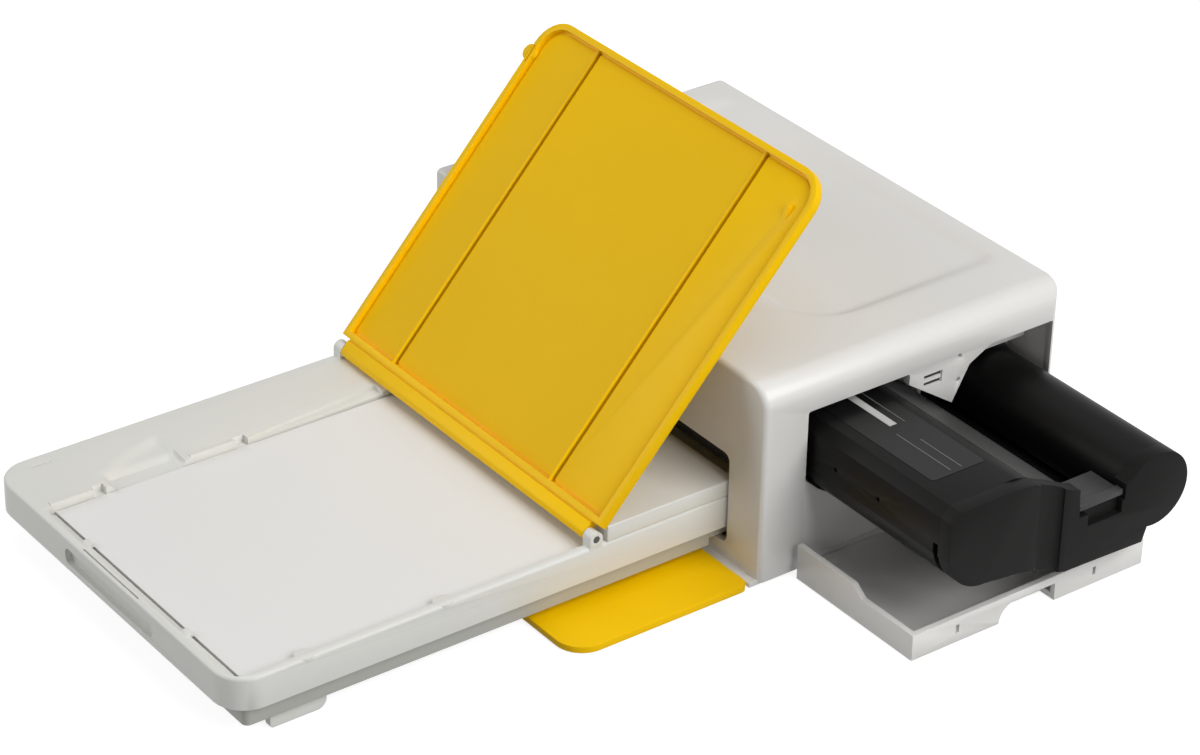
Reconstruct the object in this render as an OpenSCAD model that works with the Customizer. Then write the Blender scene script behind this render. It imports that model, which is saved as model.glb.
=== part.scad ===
// Compact photo printer with a plug-in paper tray, a side-loading ribbon
// cartridge, a hinged tray lid, a fold-down front cover and a side door.
// X runs along the printer's front, Y into the printer, Z up from the desk.
// The printer body is centred on X = 0 and its front face lies on Y = 0
// until in_place() moves the whole thing over the middle of its footprint.

/* [Body] */
// Width of the printer body
body_w = 165.5; // [160:0.5:190]
// Depth of the printer body
body_d = 111; // [110:0.5:130]
// Height of the printer body above the desk
body_h = 65.4; // [64:0.2:80]
// Thickness of the side and front walls
wall = 2.5; // [2:0.1:3]
// Thickness of the top, deep enough to hold the dish
top_wall = 4.6; // [4:0.1:6]
// Radius of the two long top edges
top_round = 10; // [6:0.5:14]
// radius of the body's left top edge
left_round = 4; // [3.6:0.2:6]
// Height of the rubber feet
foot_h = 1; // [0.8:0.1:2]
// Radius of the rubber feet
foot_r = 6; // [4:0.5:7]
// Depth of the top dish at its front end
dish_depth = 2.2; // [0.6:0.1:2.4]
// Corner radius of the top dish
dish_round = 20; // [5:1:28]

/* [Paper] */
// Width of a sheet of photo paper
paper_w = 101.6; // [100:0.2:103]
// Length of a sheet of photo paper with its tear-off ends
paper_l = 177.8; // [172:0.2:179]
// Height of the stack of sheets
stack_h = 3; // [1:0.5:3.5]

/* [Tray] */
// Outer width of the paper tray
tray_w = 132.6; // [130:0.2:135]
// Reach of the tray in front of the printer
tray_reach = 166.3; // [164:0.1:172]
// Length of tray plugged into the printer
tray_plug = 20; // [19.6:0.1:20.4]
// Height of the tray rim above the desk
rim_z = 22.4; // [22.2:0.1:22.8]
// Height of the seam between the tray's two halves
seam_z = 12; // [11:0.1:12.5]
// Height of the tray's underside above the desk
tray_z = 5.5; // [5:0.1:6.4]
// Wall of the tray mouldings
tray_wall = 2.5; // [2:0.1:2.6]
// Radius of the tray's front corners
tray_round = 10; // [4:0.5:12]
// Height of the rear cover over the rim
cover_rise = 3.7; // [3.4:0.1:4.5]
// Reach of the rear cover in front of the printer
cover_reach = 42.4; // [38:0.2:42.6]

/* [Lid] */
// Angle between the open lid and its closed place
lid_angle = 132; // [100:1:132]
// Distance of the lid's hinge line in front of the printer
lid_hinge_y = 46.3; // [46.2:0.1:48]
// Thickness of the lid with its rim
lid_t = 3.4; // [3:0.1:3.6]
// Thickness of the lid's outer skin
lid_skin = 1.6; // [1.2:0.1:2]
// Width of the lid's rim
lid_rim = 2.2; // [1.5:0.1:3]
// Radius of the lid's hinge barrel
barrel_r = 2; // [1.8:0.05:2.1]
// Radius of the hinge pins
pin_r = 1.1; // [0.8:0.05:1.3]

/* [Cartridge] */
// Length of the cartridge along its spools
cart_l = 128; // [124:0.5:128.5]
// Distance that the cartridge stands out of its seat
cart_out = 62; // [40:1:64]
// Thickness of the cartridge's end cap
cap_t = 5; // [4:0.5:7]
// Outer radius of the supply housing
supply_r = 13.5; // [12.5:0.1:14]
// Outer radius of the take-up housing
takeup_r = 12; // [11.5:0.1:12.2]
// Wall of the cartridge housings
cart_wall = 1.6; // [1.2:0.1:2]
// Radius of the full roll of ribbon
roll_r = 9; // [6:0.2:10]

/* [Side door] */
// Height of the side door when it stands closed
door_l = 52.5; // [48:0.5:53]
// Thickness of the side door's skin
door_t = 1.8; // [1.5:0.1:2.2]
// Height of the side door's outer rim
door_rim = 8.4; // [6:0.1:9]

/* [Rollers] */
// Radius of the platen roller
platen_r = 6; // [5:0.1:6.2]
// Radius of the feed roller
feed_r = 5; // [4:0.1:5.2]
// Radius of the roller shafts
shaft_r = 2; // [1.5:0.1:2.2]
// Radius of the pickup roller
pickup_r = 6; // [5:0.1:6.2]
// Tooth module of the gears
gear_m = 0.6; // [0.56:0.01:0.62]

/* [Hidden] */
$fn = 64;
eps = 0.01;
// running clearance between a shaft and its hole
run = 0.05;
// clearance between pieces that slide past each other
slide = 0.3;
// clearance between flat pieces that are assembled together
seat = 0.1;

// body
half_w = body_w / 2;
in_x = half_w - wall;
in_top = body_h - top_wall;
base_t = 2.5;
floor_z = foot_h + base_t;
base_gap = 0.2;
rear_t = 2.5;
rear_y = body_d - rear_t;
dish_x0 = -half_w + 9.75;
dish_x1 = half_w - 23.75;
dish_y0 = 33;
dish_back = 6;
front_sill = 6.6;
plug_z = front_sill + 1.4;
plug_start = -3.5;
front_open_z = 36.6;
tray_side_gap = 0.9;

// bay opening in the right wall and the tongue that hangs in it
bay_y0 = 15.5;
bay_y1 = body_d - 2.6;

// tray
half_t = tray_w / 2;
rim_w = 2.6;
well_x1 = half_t - rim_w;
well_gap = 0.7;
well_x0 = well_x1 - paper_w - 2 * well_gap;
well_y0 = -tray_reach + 2.4;
well_y1 = tray_plug - tray_wall;
top_skin = 2;
stack_z = 20.5;
base_inset = 2.8;
base_front = 5.4;
base_round = 2;
base_floor = 1.6;
flange_l = 8;
rear_wall_z = 20;
cover_z = rim_z + cover_rise;
cover_back = 3;
cover_skin = 1.6;
axis_y = -lid_hinge_y;
axis_z = rim_z + barrel_r + 0.2;
ear_w = 3.6;
ear_r = 3;
well_round = 4;
scoop_x0 = -half_t + 9.3;
scoop_y = [-tray_reach + 24.8, -tray_reach + 49.3];
scoop_r = 7;
scoop_depth = 2.6;

// tray feet
leg_y0 = -151.8;
leg_l = 18.2;
leg_t = 2.6;
leg_axis_z = tray_z + leg_t / 2 + 0.3;
leg_x = half_t - base_inset - 3.4;
leg_reach = leg_axis_z;
leg_knuckle = leg_t / 2;

// lift plate
plate_t = 1;
plate_z = stack_z - stack_h - plate_t;
plate_gap = 0.5;

// front cover
cover_t = 2;
flap_z = 0.4;
flap_reach = 63.5;
flap_axis_y = -2;
flap_axis_z = flap_z + cover_t / 2;
flap_pin_r = 0.6;
flap_lug = 8;

// side door
door_z = 0.4;
door_y0 = bay_y0 - 4;
door_y1 = bay_y1 - 0.4;
door_axis_x = half_w + 1.6;
door_axis_z = door_z + 1.1;
door_x1 = door_axis_x + door_l;
door_wall = 1.8;
door_step_x = door_axis_x + 26;
door_tall = 11.4;
door_notch = [44, 65];
door_notch_z = 5.8;
door_notch_in = 6;
door_ramp = 4;
door_slots = [27.6, 79.6];

// cartridge, drawn where it stands half out
cart_x1 = half_w - 1.75 + cart_out;
cart_x0 = cart_x1 - cart_l;
cap_x = cart_x1 - cap_t;
supply = [bay_y0 + 15.5, 35.8];
takeup = [bay_y1 - takeup_r - 0.4, 30];
cart_flat = 0.2;
cart_front = supply[0] - supply_r - cart_flat;
cart_top = supply[1] + supply_r + cart_flat;
roof_t = 1.8;
roof_a = [supply[0] + 17, cart_top - 1];
roof_b = [takeup[0] - 29, takeup[1] + 7];
roof_c = [takeup[0] - 12.5, takeup[1] + 6.2];
spool_r = 4.9;
core_bore = 4;
takeup_roll = 6;
film_t = 0.2;
film_z = 21.5;
film_in = 7;
cart_clear = 0.9;
cap_low = 13.6;
latch_y = [takeup[0] - 30, takeup[0] - 12.5];
latch_z = takeup[1] + 3.5;
bay_z = cart_top + 3.9;
tongue_y = supply[0] + 22;
tongue = [[tongue_y, bay_z + eps], [tongue_y, cart_top + 0.2], roof_b + [3, 1.2],
    [roof_b[0] + 9, cart_top - 0.3], [roof_b[0] + 17, bay_z + eps]];
catch_y = [tongue_y + 5.5, tongue_y + 12.5];
catch_z = [cart_top - 2.7, cart_top + 1.3];
catch_t = 1.2;
gauge_y = roof_b[0] + 5;
gauge_z = [cart_top - 4.3, cart_top + 3.7];
gauge_r = 0.8;
bay_rib_x = in_x - 10;
bay_rib_t = 1.2;
bay_rib_z = takeup[1] + takeup_r + cart_clear + 0.4;

// frames and drive
left_x = -in_x + 30.25;
frame_t = 1.2;
right_x = in_x - 14.65;
gear_x = left_x - 6;
gear_t = 3;
bracket_x = gear_x - 2.2;
platen = [takeup[0] - 26, 15.2];
feed = [takeup[0] - 13.5, 12.2];
pinch_r = 2.2;
pinch_pin = 1;
pinch = feed + [0, feed_r + pinch_r + 0.25];
pickup = [10, stack_z + 0.3 + pickup_r];
roll_x0 = left_x + 10;
roll_x1 = right_x - 1.6;
teeth_platen = 18;
teeth_feed = 18;
teeth_link = 14;
teeth_ribbon = 18;
teeth_hub = 20;
teeth_main = 22;
teeth_pinion = 12;
mesh_gap = 0.12;
axle_r = 1.5;

// centre distance of two meshing gears
function span(a, b) = gear_m * (a + b) / 2 + mesh_gap;
// the point at distance a from p and b from q, on the left of the line p to q
function meet(p, q, a, b) =
    let (d = norm(q - p), u = (q - p) / d, s = (a * a - b * b + d * d) / (2 * d), h = sqrt(a * a - s * s))
    p + s * u + h * [-u[1], u[0]];
link = meet(platen, feed, span(teeth_platen, teeth_link), span(teeth_feed, teeth_link));
ribbon_idler = meet(link, takeup, span(teeth_link, teeth_ribbon), span(teeth_hub, teeth_ribbon));
main_dir = [-0.6, 0.8];
main_gear = link + span(teeth_link, teeth_main) * main_dir;
motor = main_gear + span(teeth_main, teeth_pinion) * main_dir;
motor_r = 11;
motor_l = 20;
pulley_r = 3.1;
belt_t = 0.8;
belt_x = left_x - 2.6;
belt_w = 2;

// head
head_y0 = platen[0] - 5;
head_y1 = platen[0] + 5;
head_z0 = 24.8;
head_z1 = 32.4;
strip_t = 0.4;

// middle of the whole footprint
mid_x = (cart_x1 - half_w) / 2;
mid_y = (body_d - tray_reach) / 2;

module in_place() { translate([-mid_x, -mid_y, 0]) children(); }
// extrudes an outline drawn in Y and Z along X
module along_x(x0, x1) { translate([x0, 0, 0]) rotate([90, 0, 90]) linear_extrude(x1 - x0) children(); }
// extrudes an outline drawn in X and Z along Y
module along_y(y0, y1) { translate([0, y1, 0]) rotate([90, 0, 0]) linear_extrude(y1 - y0) children(); }
module box(a, b) { translate(a) cube(b - a); }
module rod_x(p, r, x0, x1) { along_x(x0, x1) translate(p) circle(r); }
module rod_y(p, r, y0, y1) { along_y(y0, y1) translate(p) circle(r); }
module post(p, r, z0, z1) { translate([p[0], p[1], z0]) cylinder(r = r, h = z1 - z0); }

// front view outline with two rounded upper corners
module arch(hw, z0, z1, rl, rr) {
    translate([-hw, z0]) square([hw, z1 - rl - z0]);
    translate([0, z0]) square([hw, z1 - rr - z0]);
    translate([rl - hw, z0]) square([2 * hw - rl - rr, z1 - z0]);
    translate([rl - hw, z1 - rl]) circle(rl);
    translate([hw - rr, z1 - rr]) circle(rr);
}
// plan view outline from y0 to y1 with two rounded corners at y0
module tongue_plan(hw, y0, y1, r) {
    translate([-hw, y0 + r]) square([2 * hw, y1 - y0 - r]);
    translate([r - hw, y0]) square([2 * (hw - r), y1 - y0]);
    for (s = [-1, 1]) translate([s * (hw - r), y0 + r]) circle(r);
}
// plan view rectangle with four rounded corners
module round_rect(x0, x1, y0, y1, r) {
    translate([x0 + r, y0]) square([x1 - x0 - 2 * r, y1 - y0]);
    translate([x0, y0 + r]) square([x1 - x0, y1 - y0 - 2 * r]);
    for (x = [x0 + r, x1 - r], y = [y0 + r, y1 - r]) translate([x, y]) circle(r);
}
// belt line round two equal circles, with its half turns in short steps
belt_steps = 20;
module stadium(a, b, r) {
    aim = atan2(b[1] - a[1], b[0] - a[0]);
    turn = [for (k = [0:belt_steps]) aim + 90 + k * 180 / belt_steps];
    polygon(concat([for (t = turn) a + r * [cos(t), sin(t)]], [for (t = turn) b - r * [cos(t), sin(t)]]));
}

// screw places and the bosses that take the screws
head_r = 2.2;
post_x = in_x - head_r - seat;
post_r = 3;
post_y = 8;
rear_post_y = body_d - 8;
rear_boss_x = in_x - 6.75;
post_top = 30;
boss_top = 10.5;
screws = [[-post_x, post_y], [post_x, post_y], [-post_x, rear_post_y], [rear_boss_x, rear_post_y]];
screw_r = 1.25;
head_h = 1;
screw_l = 6.5;
bore_fit = 0.02;
button_at = [-half_w + 20.75, 12];
button_r = 4;
button_rise = 0.6;
button_flange = 1;
lug_w = 3.4;
lug_x = [30, 50];
door_knuckle = 10;
door_pin_r = 0.6;
door_lugs = [door_y0 + 6, door_y1 - 6 - lug_w];
lug_gap = 0.3;
hinge_r = 1.1;

module outer_cover() {
    color("white") in_place() difference() {
        union() {
            difference() {
                along_y(0, body_d) arch(half_w, foot_h, body_h, left_round, top_round);
                along_y(wall, body_d + eps)
                    arch(in_x, foot_h - eps, in_top, left_round - wall, top_round - wall);
            }
            for (p = [screws[0], screws[1], screws[2]]) post(p, post_r, floor_z + seat, post_top);
            for (s = [-1, 1], x = [lug_x[1] + lug_gap, -lug_x[1] - lug_gap - lug_w])
                if (s * x > 0) front_lug(x);
            box([bay_rib_x, takeup[0] - 14, bay_rib_z],
                [bay_rib_x + bay_rib_t, bay_y1 - 0.5, in_top + eps]);
        }
        box([-half_t - tray_side_gap, -eps, front_sill],
            [half_t + tray_side_gap, wall + eps, front_open_z]);
        bay_opening();
        top_dish();
        post(button_at, button_r + slide, in_top - eps, body_h + eps);
        for (p = [screws[0], screws[1], screws[2]])
            post(p, screw_r + bore_fit, floor_z, floor_z + screw_l + 1);
        rod_x([flap_axis_y, flap_axis_z], flap_pin_r + bore_fit, -half_w, half_w);
    }
}
module front_lug(x) {
    box([x, flap_axis_y - hinge_r, flap_z], [x + lug_w, eps, flap_z + 2 * hinge_r]);
}
module bay_opening() {
    x0 = in_x - eps;
    x1 = half_w + eps;
    along_x(x0, x1) difference() {
        translate([bay_y0, foot_h - eps]) square([bay_y1 - bay_y0, bay_z - foot_h + eps]);
        polygon(tongue);
    }
    box([x0, catch_y[0], catch_z[0]], [x1, catch_y[1], catch_z[1]]);
    for (z = gauge_z) rod_x([gauge_y, z], gauge_r, x0, x1);
}
module top_dish() {
    y1 = body_d - dish_back;
    tilt = atan(dish_depth / (y1 - dish_y0));
    translate([0, y1, body_h]) rotate([tilt, 0, 0]) linear_extrude(top_wall)
        round_rect(dish_x0, dish_x1, dish_y0 - y1, 2 * dish_round, dish_round);
}

module base_plate() {
    color("gainsboro") in_place() difference() {
        union() {
            box([-in_x + seat, wall + base_gap, foot_h], [in_x - seat, rear_y - seat, floor_z]);
            for (y = door_lugs)
                box([in_x - 2 * wall, y, door_z], [door_axis_x + hinge_r, y + lug_w, door_z + 2 * hinge_r]);
            for (p = board_posts) post(p, 2, floor_z - eps, board_z);
        }
        for (p = screws) {
            post(p, screw_r + 2 * seat, foot_h - eps, floor_z + eps);
            post(p, head_r + 2 * seat, foot_h - eps, foot_h + head_h + 2 * seat);
        }
        rod_y([door_axis_x, door_axis_z], door_pin_r + bore_fit, door_y0, door_y1);
    }
}

// sill under the ribbon cartridge, inside the bay opening
sill_x = [right_x + frame_t + 1, in_x - 0.6];
sill_y = [bay_y0 + 0.5, rear_post_y - post_r - 2];
sill_z = 11.9;
sill_t = 1.6;
sill_step = 2;
module bay_sill() {
    color("whitesmoke") in_place() rotate([90, 0, 0]) translate([0, 0, -sill_y[1]])
        linear_extrude(sill_y[1] - sill_y[0])
            polygon([[sill_x[1] - sill_t, floor_z + seat], [sill_x[1], floor_z + seat],
                [sill_x[1], sill_z - sill_step], [sill_x[1] - sill_step, sill_z - sill_step],
                [sill_x[1] - sill_step, sill_z], [sill_x[0], sill_z], [sill_x[0], sill_z - sill_t],
                [sill_x[1] - sill_step - sill_t, sill_z - sill_t],
                [sill_x[1] - sill_step - sill_t, sill_z - sill_step - sill_t],
                [sill_x[1] - sill_t, sill_z - sill_step - sill_t]]);
}

// rear panel with its vents, sockets and the slot that the paper runs out of
slot_x0 = well_x0 - 1.7;
slot_x1 = well_x1 + 1.7;
slot_z = [feed[1] + 0.4, feed[1] + 5.6];
vent_x = [4, half_w - 22.75];
vent_z = [36, in_top - 4.8];
vent_pitch = 4;
vent_w = 2;
socket_x = [-in_x + 6.75, -in_x + 16.75];
socket_z = [8, 19];
socket_y = body_d - 13;
jack_r = 2.8;
jack_l = 9;
usb_x = [-in_x + 19.75, -in_x + 28.75];
usb_z = [8, 12];
usb_y = body_d - 6.6;
module rear_panel() {
    color("gainsboro") in_place() difference() {
        union() {
            along_y(rear_y, body_d)
                arch(in_x - seat, foot_h, in_top - seat, left_round - wall, top_round - wall);
            box([rear_boss_x - post_r, rear_post_y - post_r, floor_z + seat],
                [rear_boss_x + post_r, rear_y + eps, boss_top]);
        }
        box([slot_x0, rear_y - eps, slot_z[0]], [slot_x1, body_d + eps, slot_z[1]]);
        for (z = [vent_z[0]:vent_pitch:vent_z[1]])
            box([vent_x[0], rear_y - eps, z], [vent_x[1], body_d + eps, z + vent_w]);
        box([socket_x[0] - seat, rear_y - eps, socket_z[0] - seat],
            [socket_x[1] + seat, body_d + eps, socket_z[1] + seat]);
        box([usb_x[0] - seat, rear_y - eps, usb_z[0] - seat],
            [usb_x[1] + seat, body_d + eps, usb_z[1] + seat]);
        post(screws[3], screw_r + bore_fit, floor_z, floor_z + screw_l);
    }
}
feet_x = half_w - 14.75;
feet_y = [14, body_d - 14];
module rubber_feet() {
    color("dimgray") in_place() for (x = [-feet_x, feet_x], y = feet_y) post([x, y], foot_r, 0, foot_h);
}
module case_screws() {
    color("silver") in_place() for (p = screws) {
        post(p, head_r, foot_h + seat, foot_h + seat + head_h);
        post(p, screw_r, foot_h + seat + head_h - eps, floor_z + screw_l - 1);
    }
}

// side frames that carry the rollers
frame_front = 4;
frame_step = 21;
frame_low = rim_z + 0.8;
frame_back = rear_y - 2.5;
frame_top = in_top - 2.8;
module frame_plan() {
    polygon([[frame_step, floor_z], [frame_back, floor_z], [frame_back, frame_top],
        [frame_front, frame_top], [frame_front, frame_low], [frame_step, frame_low]]);
}
module left_frame() {
    color("silver") in_place() {
        along_x(left_x, left_x + frame_t) difference() {
            frame_plan();
            for (p = [platen, feed, pickup]) translate(p) circle(shaft_r + run);
            for (p = [link, ribbon_idler, main_gear, takeup]) translate(p) circle(axle_r + run);
            translate(pinch) circle(pinch_pin + run);
        }
        rod_x(supply, hub_r, left_x + frame_t - eps, hub_x1);
    }
}
hub_r = 3.2;
hub_x1 = left_x + 6;
module cartridge_path() {
    gap = cart_clear;
    translate(supply) circle(supply_r + gap);
    translate([cart_front - gap, supply[1]]) square([supply_r, supply_r + gap]);
    translate(takeup) circle(takeup_r + gap);
    polygon([[supply[0], film_z - gap / 2], [platen[0] + 8, film_z - gap / 2],
        [takeup[0] - 10, film_z + gap / 2], takeup, roof_c + [0, gap], roof_b + [0, gap],
        roof_a + [gap, gap], [supply[0], cart_top + gap]]);
}
module right_frame() {
    color("silver") in_place() along_x(right_x, right_x + frame_t) difference() {
        frame_plan();
        cartridge_path();
        for (p = [platen, feed, pickup]) translate(p) circle(shaft_r + run);
        translate(pinch) circle(pinch_pin + run);
    }
}
module door_catch() {
    color("whitesmoke") in_place()
        box([in_x + slide, catch_y[0], catch_z[0] + catch_t],
            [half_w - 2 * slide, catch_y[1], catch_z[0] + 2 * catch_t]);
}

// control board beside the left wall
board_x = [-in_x + 1.75, -in_x + 18.75];
board_y = [22, 52];
board_z = 7;
board_t = 1.6;
// corner on the board, length, width and height of each component
chips = [[4.5, 6, 9, 9, 1.4], [2.5, 20, 5, 6, 8], [10.5, 19, 4, 8, 5]];
board_posts = [for (x = [board_x[0] + 3, board_x[1] - 3], y = [board_y[0] + 3, board_y[1] - 3]) [x, y]];
module control_board() {
    color("darkgreen") in_place() {
        box([board_x[0], board_y[0], board_z], [board_x[1], board_y[1], board_z + board_t]);
        for (c = chips)
            translate([board_x[0] + c[0], board_y[0] + c[1], board_z + board_t - eps])
                cube([c[2], c[3], c[4]]);
    }
}
module power_socket() {
    middle = [(socket_x[0] + socket_x[1]) / 2, (socket_z[0] + socket_z[1]) / 2];
    color("black") in_place() {
        difference() {
            box([socket_x[0], socket_y, socket_z[0]], [socket_x[1], body_d, socket_z[1]]);
            rod_y(middle, jack_r, body_d - jack_l, body_d + eps);
        }
        rod_y(middle, 0.8, body_d - jack_l - eps, body_d - 1);
    }
}
module usb_socket() {
    color("dimgray") in_place() difference() {
        box([usb_x[0], usb_y, usb_z[0]], [usb_x[1], body_d, usb_z[1]]);
        box([usb_x[0] + 0.6, usb_y + 1, usb_z[0] + 0.6], [usb_x[1] - 0.6, body_d + eps, usb_z[1] - 0.6]);
    }
}

// drive
bracket_z = floor_z + 1.5;
bracket_front = platen[0] - 16;
bracket_back = takeup[0] + 8;
bracket_rise = 18;
bracket_top = takeup[1] + bracket_rise;
motor_hold = 15;
motor_cover = 14;
bracket_plan = [[bracket_front, bracket_z], [bracket_back, bracket_z], [bracket_back, bracket_top],
    motor + [-4, motor_cover], motor + [-motor_hold, motor_cover], motor + [-motor_hold, 2]];
standoff_r = 2;
standoff_in = 3;
standoffs = [[bracket_front + standoff_in, bracket_z + standoff_in],
    [bracket_back - standoff_in, bracket_z + standoff_in],
    [bracket_back - standoff_in, bracket_top - standoff_in],
    motor + [standoff_in - motor_hold, motor_cover - standoff_in]];
module gear_bracket() {
    color("silver") in_place() {
        along_x(bracket_x, bracket_x + frame_t) difference() {
            polygon(bracket_plan);
            for (p = [platen, feed]) translate(p) circle(shaft_r + run);
            for (p = [link, ribbon_idler, main_gear, takeup, motor]) translate(p) circle(axle_r + run);
        }
        for (p = standoffs) rod_x(p, standoff_r, bracket_x + frame_t - eps, left_x);
    }
}
pinion_pin = 1;
pinion_seat = 5;
module motor() {
    color("lightgray") in_place() difference() {
        rod_x(motor, motor_r, bracket_x - motor_l, bracket_x);
        rod_x(motor, pinion_pin + run, bracket_x - pinion_seat - 1, bracket_x + eps);
    }
}
// straight-sided spur gear outline with a tooth at the angle phase
module gear_plan(teeth, phase) {
    pitch_r = gear_m * teeth / 2;
    root = pitch_r - 1.1 * gear_m;
    tip = pitch_r + 0.85 * gear_m;
    circle(root);
    foot_half = 0.8 * gear_m;
    tip_half = 0.34 * gear_m;
    for (k = [0:teeth - 1]) rotate(phase + k * 360 / teeth)
        polygon([[root - 0.4, -foot_half], [tip, -tip_half], [tip, tip_half], [root - 0.4, foot_half]]);
}
// phase that puts gear b in mesh with gear a
function in_mesh(pa, na, fa, pb, nb) =
    let (th = atan2(pb[1] - pa[1], pb[0] - pa[0]), d = (fa - th) * na / 360)
    th + 180 - (d + 0.5) * 360 / nb;
phase_link = in_mesh(platen, teeth_platen, 0, link, teeth_link);
phase_feed = in_mesh(link, teeth_link, phase_link, feed, teeth_feed);
phase_ribbon = in_mesh(link, teeth_link, phase_link, ribbon_idler, teeth_ribbon);
phase_hub = in_mesh(ribbon_idler, teeth_ribbon, phase_ribbon, takeup, teeth_hub);
phase_main = in_mesh(link, teeth_link, phase_link, main_gear, teeth_main);
phase_pinion = in_mesh(main_gear, teeth_main, phase_main, motor, teeth_pinion);
module gear(p, teeth, phase, bore = 0) {
    along_x(gear_x, gear_x + gear_t) translate(p) difference() {
        gear_plan(teeth, phase);
        if (bore > 0) circle(bore);
    }
}
module axle(p, r = axle_r) { rod_x(p, r, bracket_x + seat, left_x + frame_t - seat); }
module pulley(p) { rod_x(p, pulley_r, belt_x - 0.2, belt_x + belt_w + 0.2); }
module motor_pinion() {
    color("gold") in_place() {
        gear(motor, teeth_pinion, phase_pinion);
        rod_x(motor, pinion_pin, bracket_x - pinion_seat, gear_x + eps);
    }
}
module main_gear() {
    color("ivory") in_place() {
        gear(main_gear, teeth_main, phase_main);
        axle(main_gear);
        pulley(main_gear);
    }
}
module link_gear() {
    color("ivory") in_place() {
        gear(link, teeth_link, phase_link);
        axle(link);
    }
}
module ribbon_gear() {
    color("ivory") in_place() {
        gear(ribbon_idler, teeth_ribbon, phase_ribbon);
        axle(ribbon_idler);
    }
}
module takeup_hub() {
    color("ivory") in_place() {
        gear(takeup, teeth_hub, phase_hub);
        axle(takeup);
        rod_x(takeup, axle_r, left_x, left_x + frame_t + 2 * seat);
        rod_x(takeup, hub_r, left_x + frame_t + seat, hub_x1);
    }
}
module platen_roller() {
    color("dimgray") in_place() {
        rod_x(platen, platen_r, roll_x0, roll_x1);
        rod_x(platen, shaft_r, bracket_x + seat, right_x + frame_t + slide);
    }
}
module platen_gear() { color("ivory") in_place() gear(platen, teeth_platen, 0, shaft_r + bore_fit); }
module feed_roller() {
    color("dimgray") in_place() {
        rod_x(feed, feed_r, roll_x0, roll_x1);
        rod_x(feed, shaft_r, bracket_x + seat, right_x + frame_t + slide);
    }
}
module feed_gear() { color("ivory") in_place() gear(feed, teeth_feed, phase_feed, shaft_r + bore_fit); }
module pinch_roller() {
    color("gray") in_place() {
        rod_x(pinch, pinch_r, roll_x0 + 8, roll_x1 - 8);
        rod_x(pinch, pinch_pin, left_x - slide, right_x + frame_t + slide);
    }
}
pickup_w = 20;
pickup_x = [(well_x0 + well_x1 - pickup_w) / 2, (well_x0 + well_x1 + pickup_w) / 2];
module pickup_roller() {
    color("dimgray") in_place() {
        rod_x(pickup, pickup_r, pickup_x[0], pickup_x[1]);
        rod_x(pickup, shaft_r, belt_x - 0.2, right_x + frame_t + slide);
        pulley(pickup);
    }
}
module pickup_belt() {
    inner = pulley_r + 3 * run;
    color("black") in_place() along_x(belt_x, belt_x + belt_w) difference() {
        stadium(pickup, main_gear, inner + belt_t);
        stadium(pickup, main_gear, inner);
    }
}

// print head
rail_t = 2;
rail_l = 4.2;
module head_guide() {
    color("silver") in_place() for (y = [head_y0 - slide - rail_t, head_y1 + slide])
        box([left_x + frame_t, y, film_z + 1.4], [left_x + frame_t + rail_l, y + rail_t, head_z1 + 2]);
}
groove_y = 1.4;
groove_pitch = 2.7;
groove_deep = 4;
fin_t = 0.9;
fin_start = 8;
module thermal_head() {
    color("lightgray") in_place() difference() {
        box([left_x + frame_t + slide, head_y0, head_z0], [right_x - 2, head_y1, head_z1]);
        for (k = [0:2])
            box([left_x + fin_start, head_y0 + groove_y + groove_pitch * k, head_z1 - groove_deep],
                [right_x, head_y0 + groove_y + groove_pitch * k + groove_pitch - fin_t, head_z1 + eps]);
    }
}
module heater_strip() {
    color("black") in_place()
        box([roll_x0, platen[0] - 1.6, head_z0 - strip_t], [right_x - 2, platen[0] + 1.6, head_z0]);
}
module power_button() {
    color("whitesmoke") in_place() {
        post(button_at, button_r, in_top - seat - eps, body_h + button_rise);
        post(button_at, button_r + 1.2, in_top - seat - button_flange, in_top - seat);
    }
}

// front cover, lying open on the desk
module front_cover() {
    color("gold") in_place() difference() {
        union() {
            translate([0, 0, flap_z]) linear_extrude(cover_t)
                tongue_plan(half_w, flap_axis_y - flap_reach, flap_axis_y - hinge_r - slide, top_round - 1);
            for (s = [-1, 1]) {
                x0 = s > 0 ? lug_x[0] : -lug_x[1];
                rod_x([flap_axis_y, flap_axis_z], hinge_r - 0.1, x0, x0 + lug_x[1] - lug_x[0]);
                box([x0, flap_axis_y - hinge_r - 1, flap_z],
                    [x0 + lug_x[1] - lug_x[0], flap_axis_y, flap_z + cover_t]);
            }
        }
        for (s = [-1, 1]) {
            x0 = s > 0 ? lug_x[1] - flap_lug : -lug_x[1] - eps;
            rod_x([flap_axis_y, flap_axis_z], flap_pin_r + run, x0, x0 + flap_lug + eps);
        }
    }
}
module front_cover_pins() {
    color("silver") in_place() for (s = [-1, 1]) {
        a = lug_x[1] - flap_lug + 1;
        b = lug_x[1] + lug_gap + lug_w;
        rod_x([flap_axis_y, flap_axis_z], flap_pin_r, s > 0 ? a : -b, s > 0 ? b : -a);
    }
}

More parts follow.
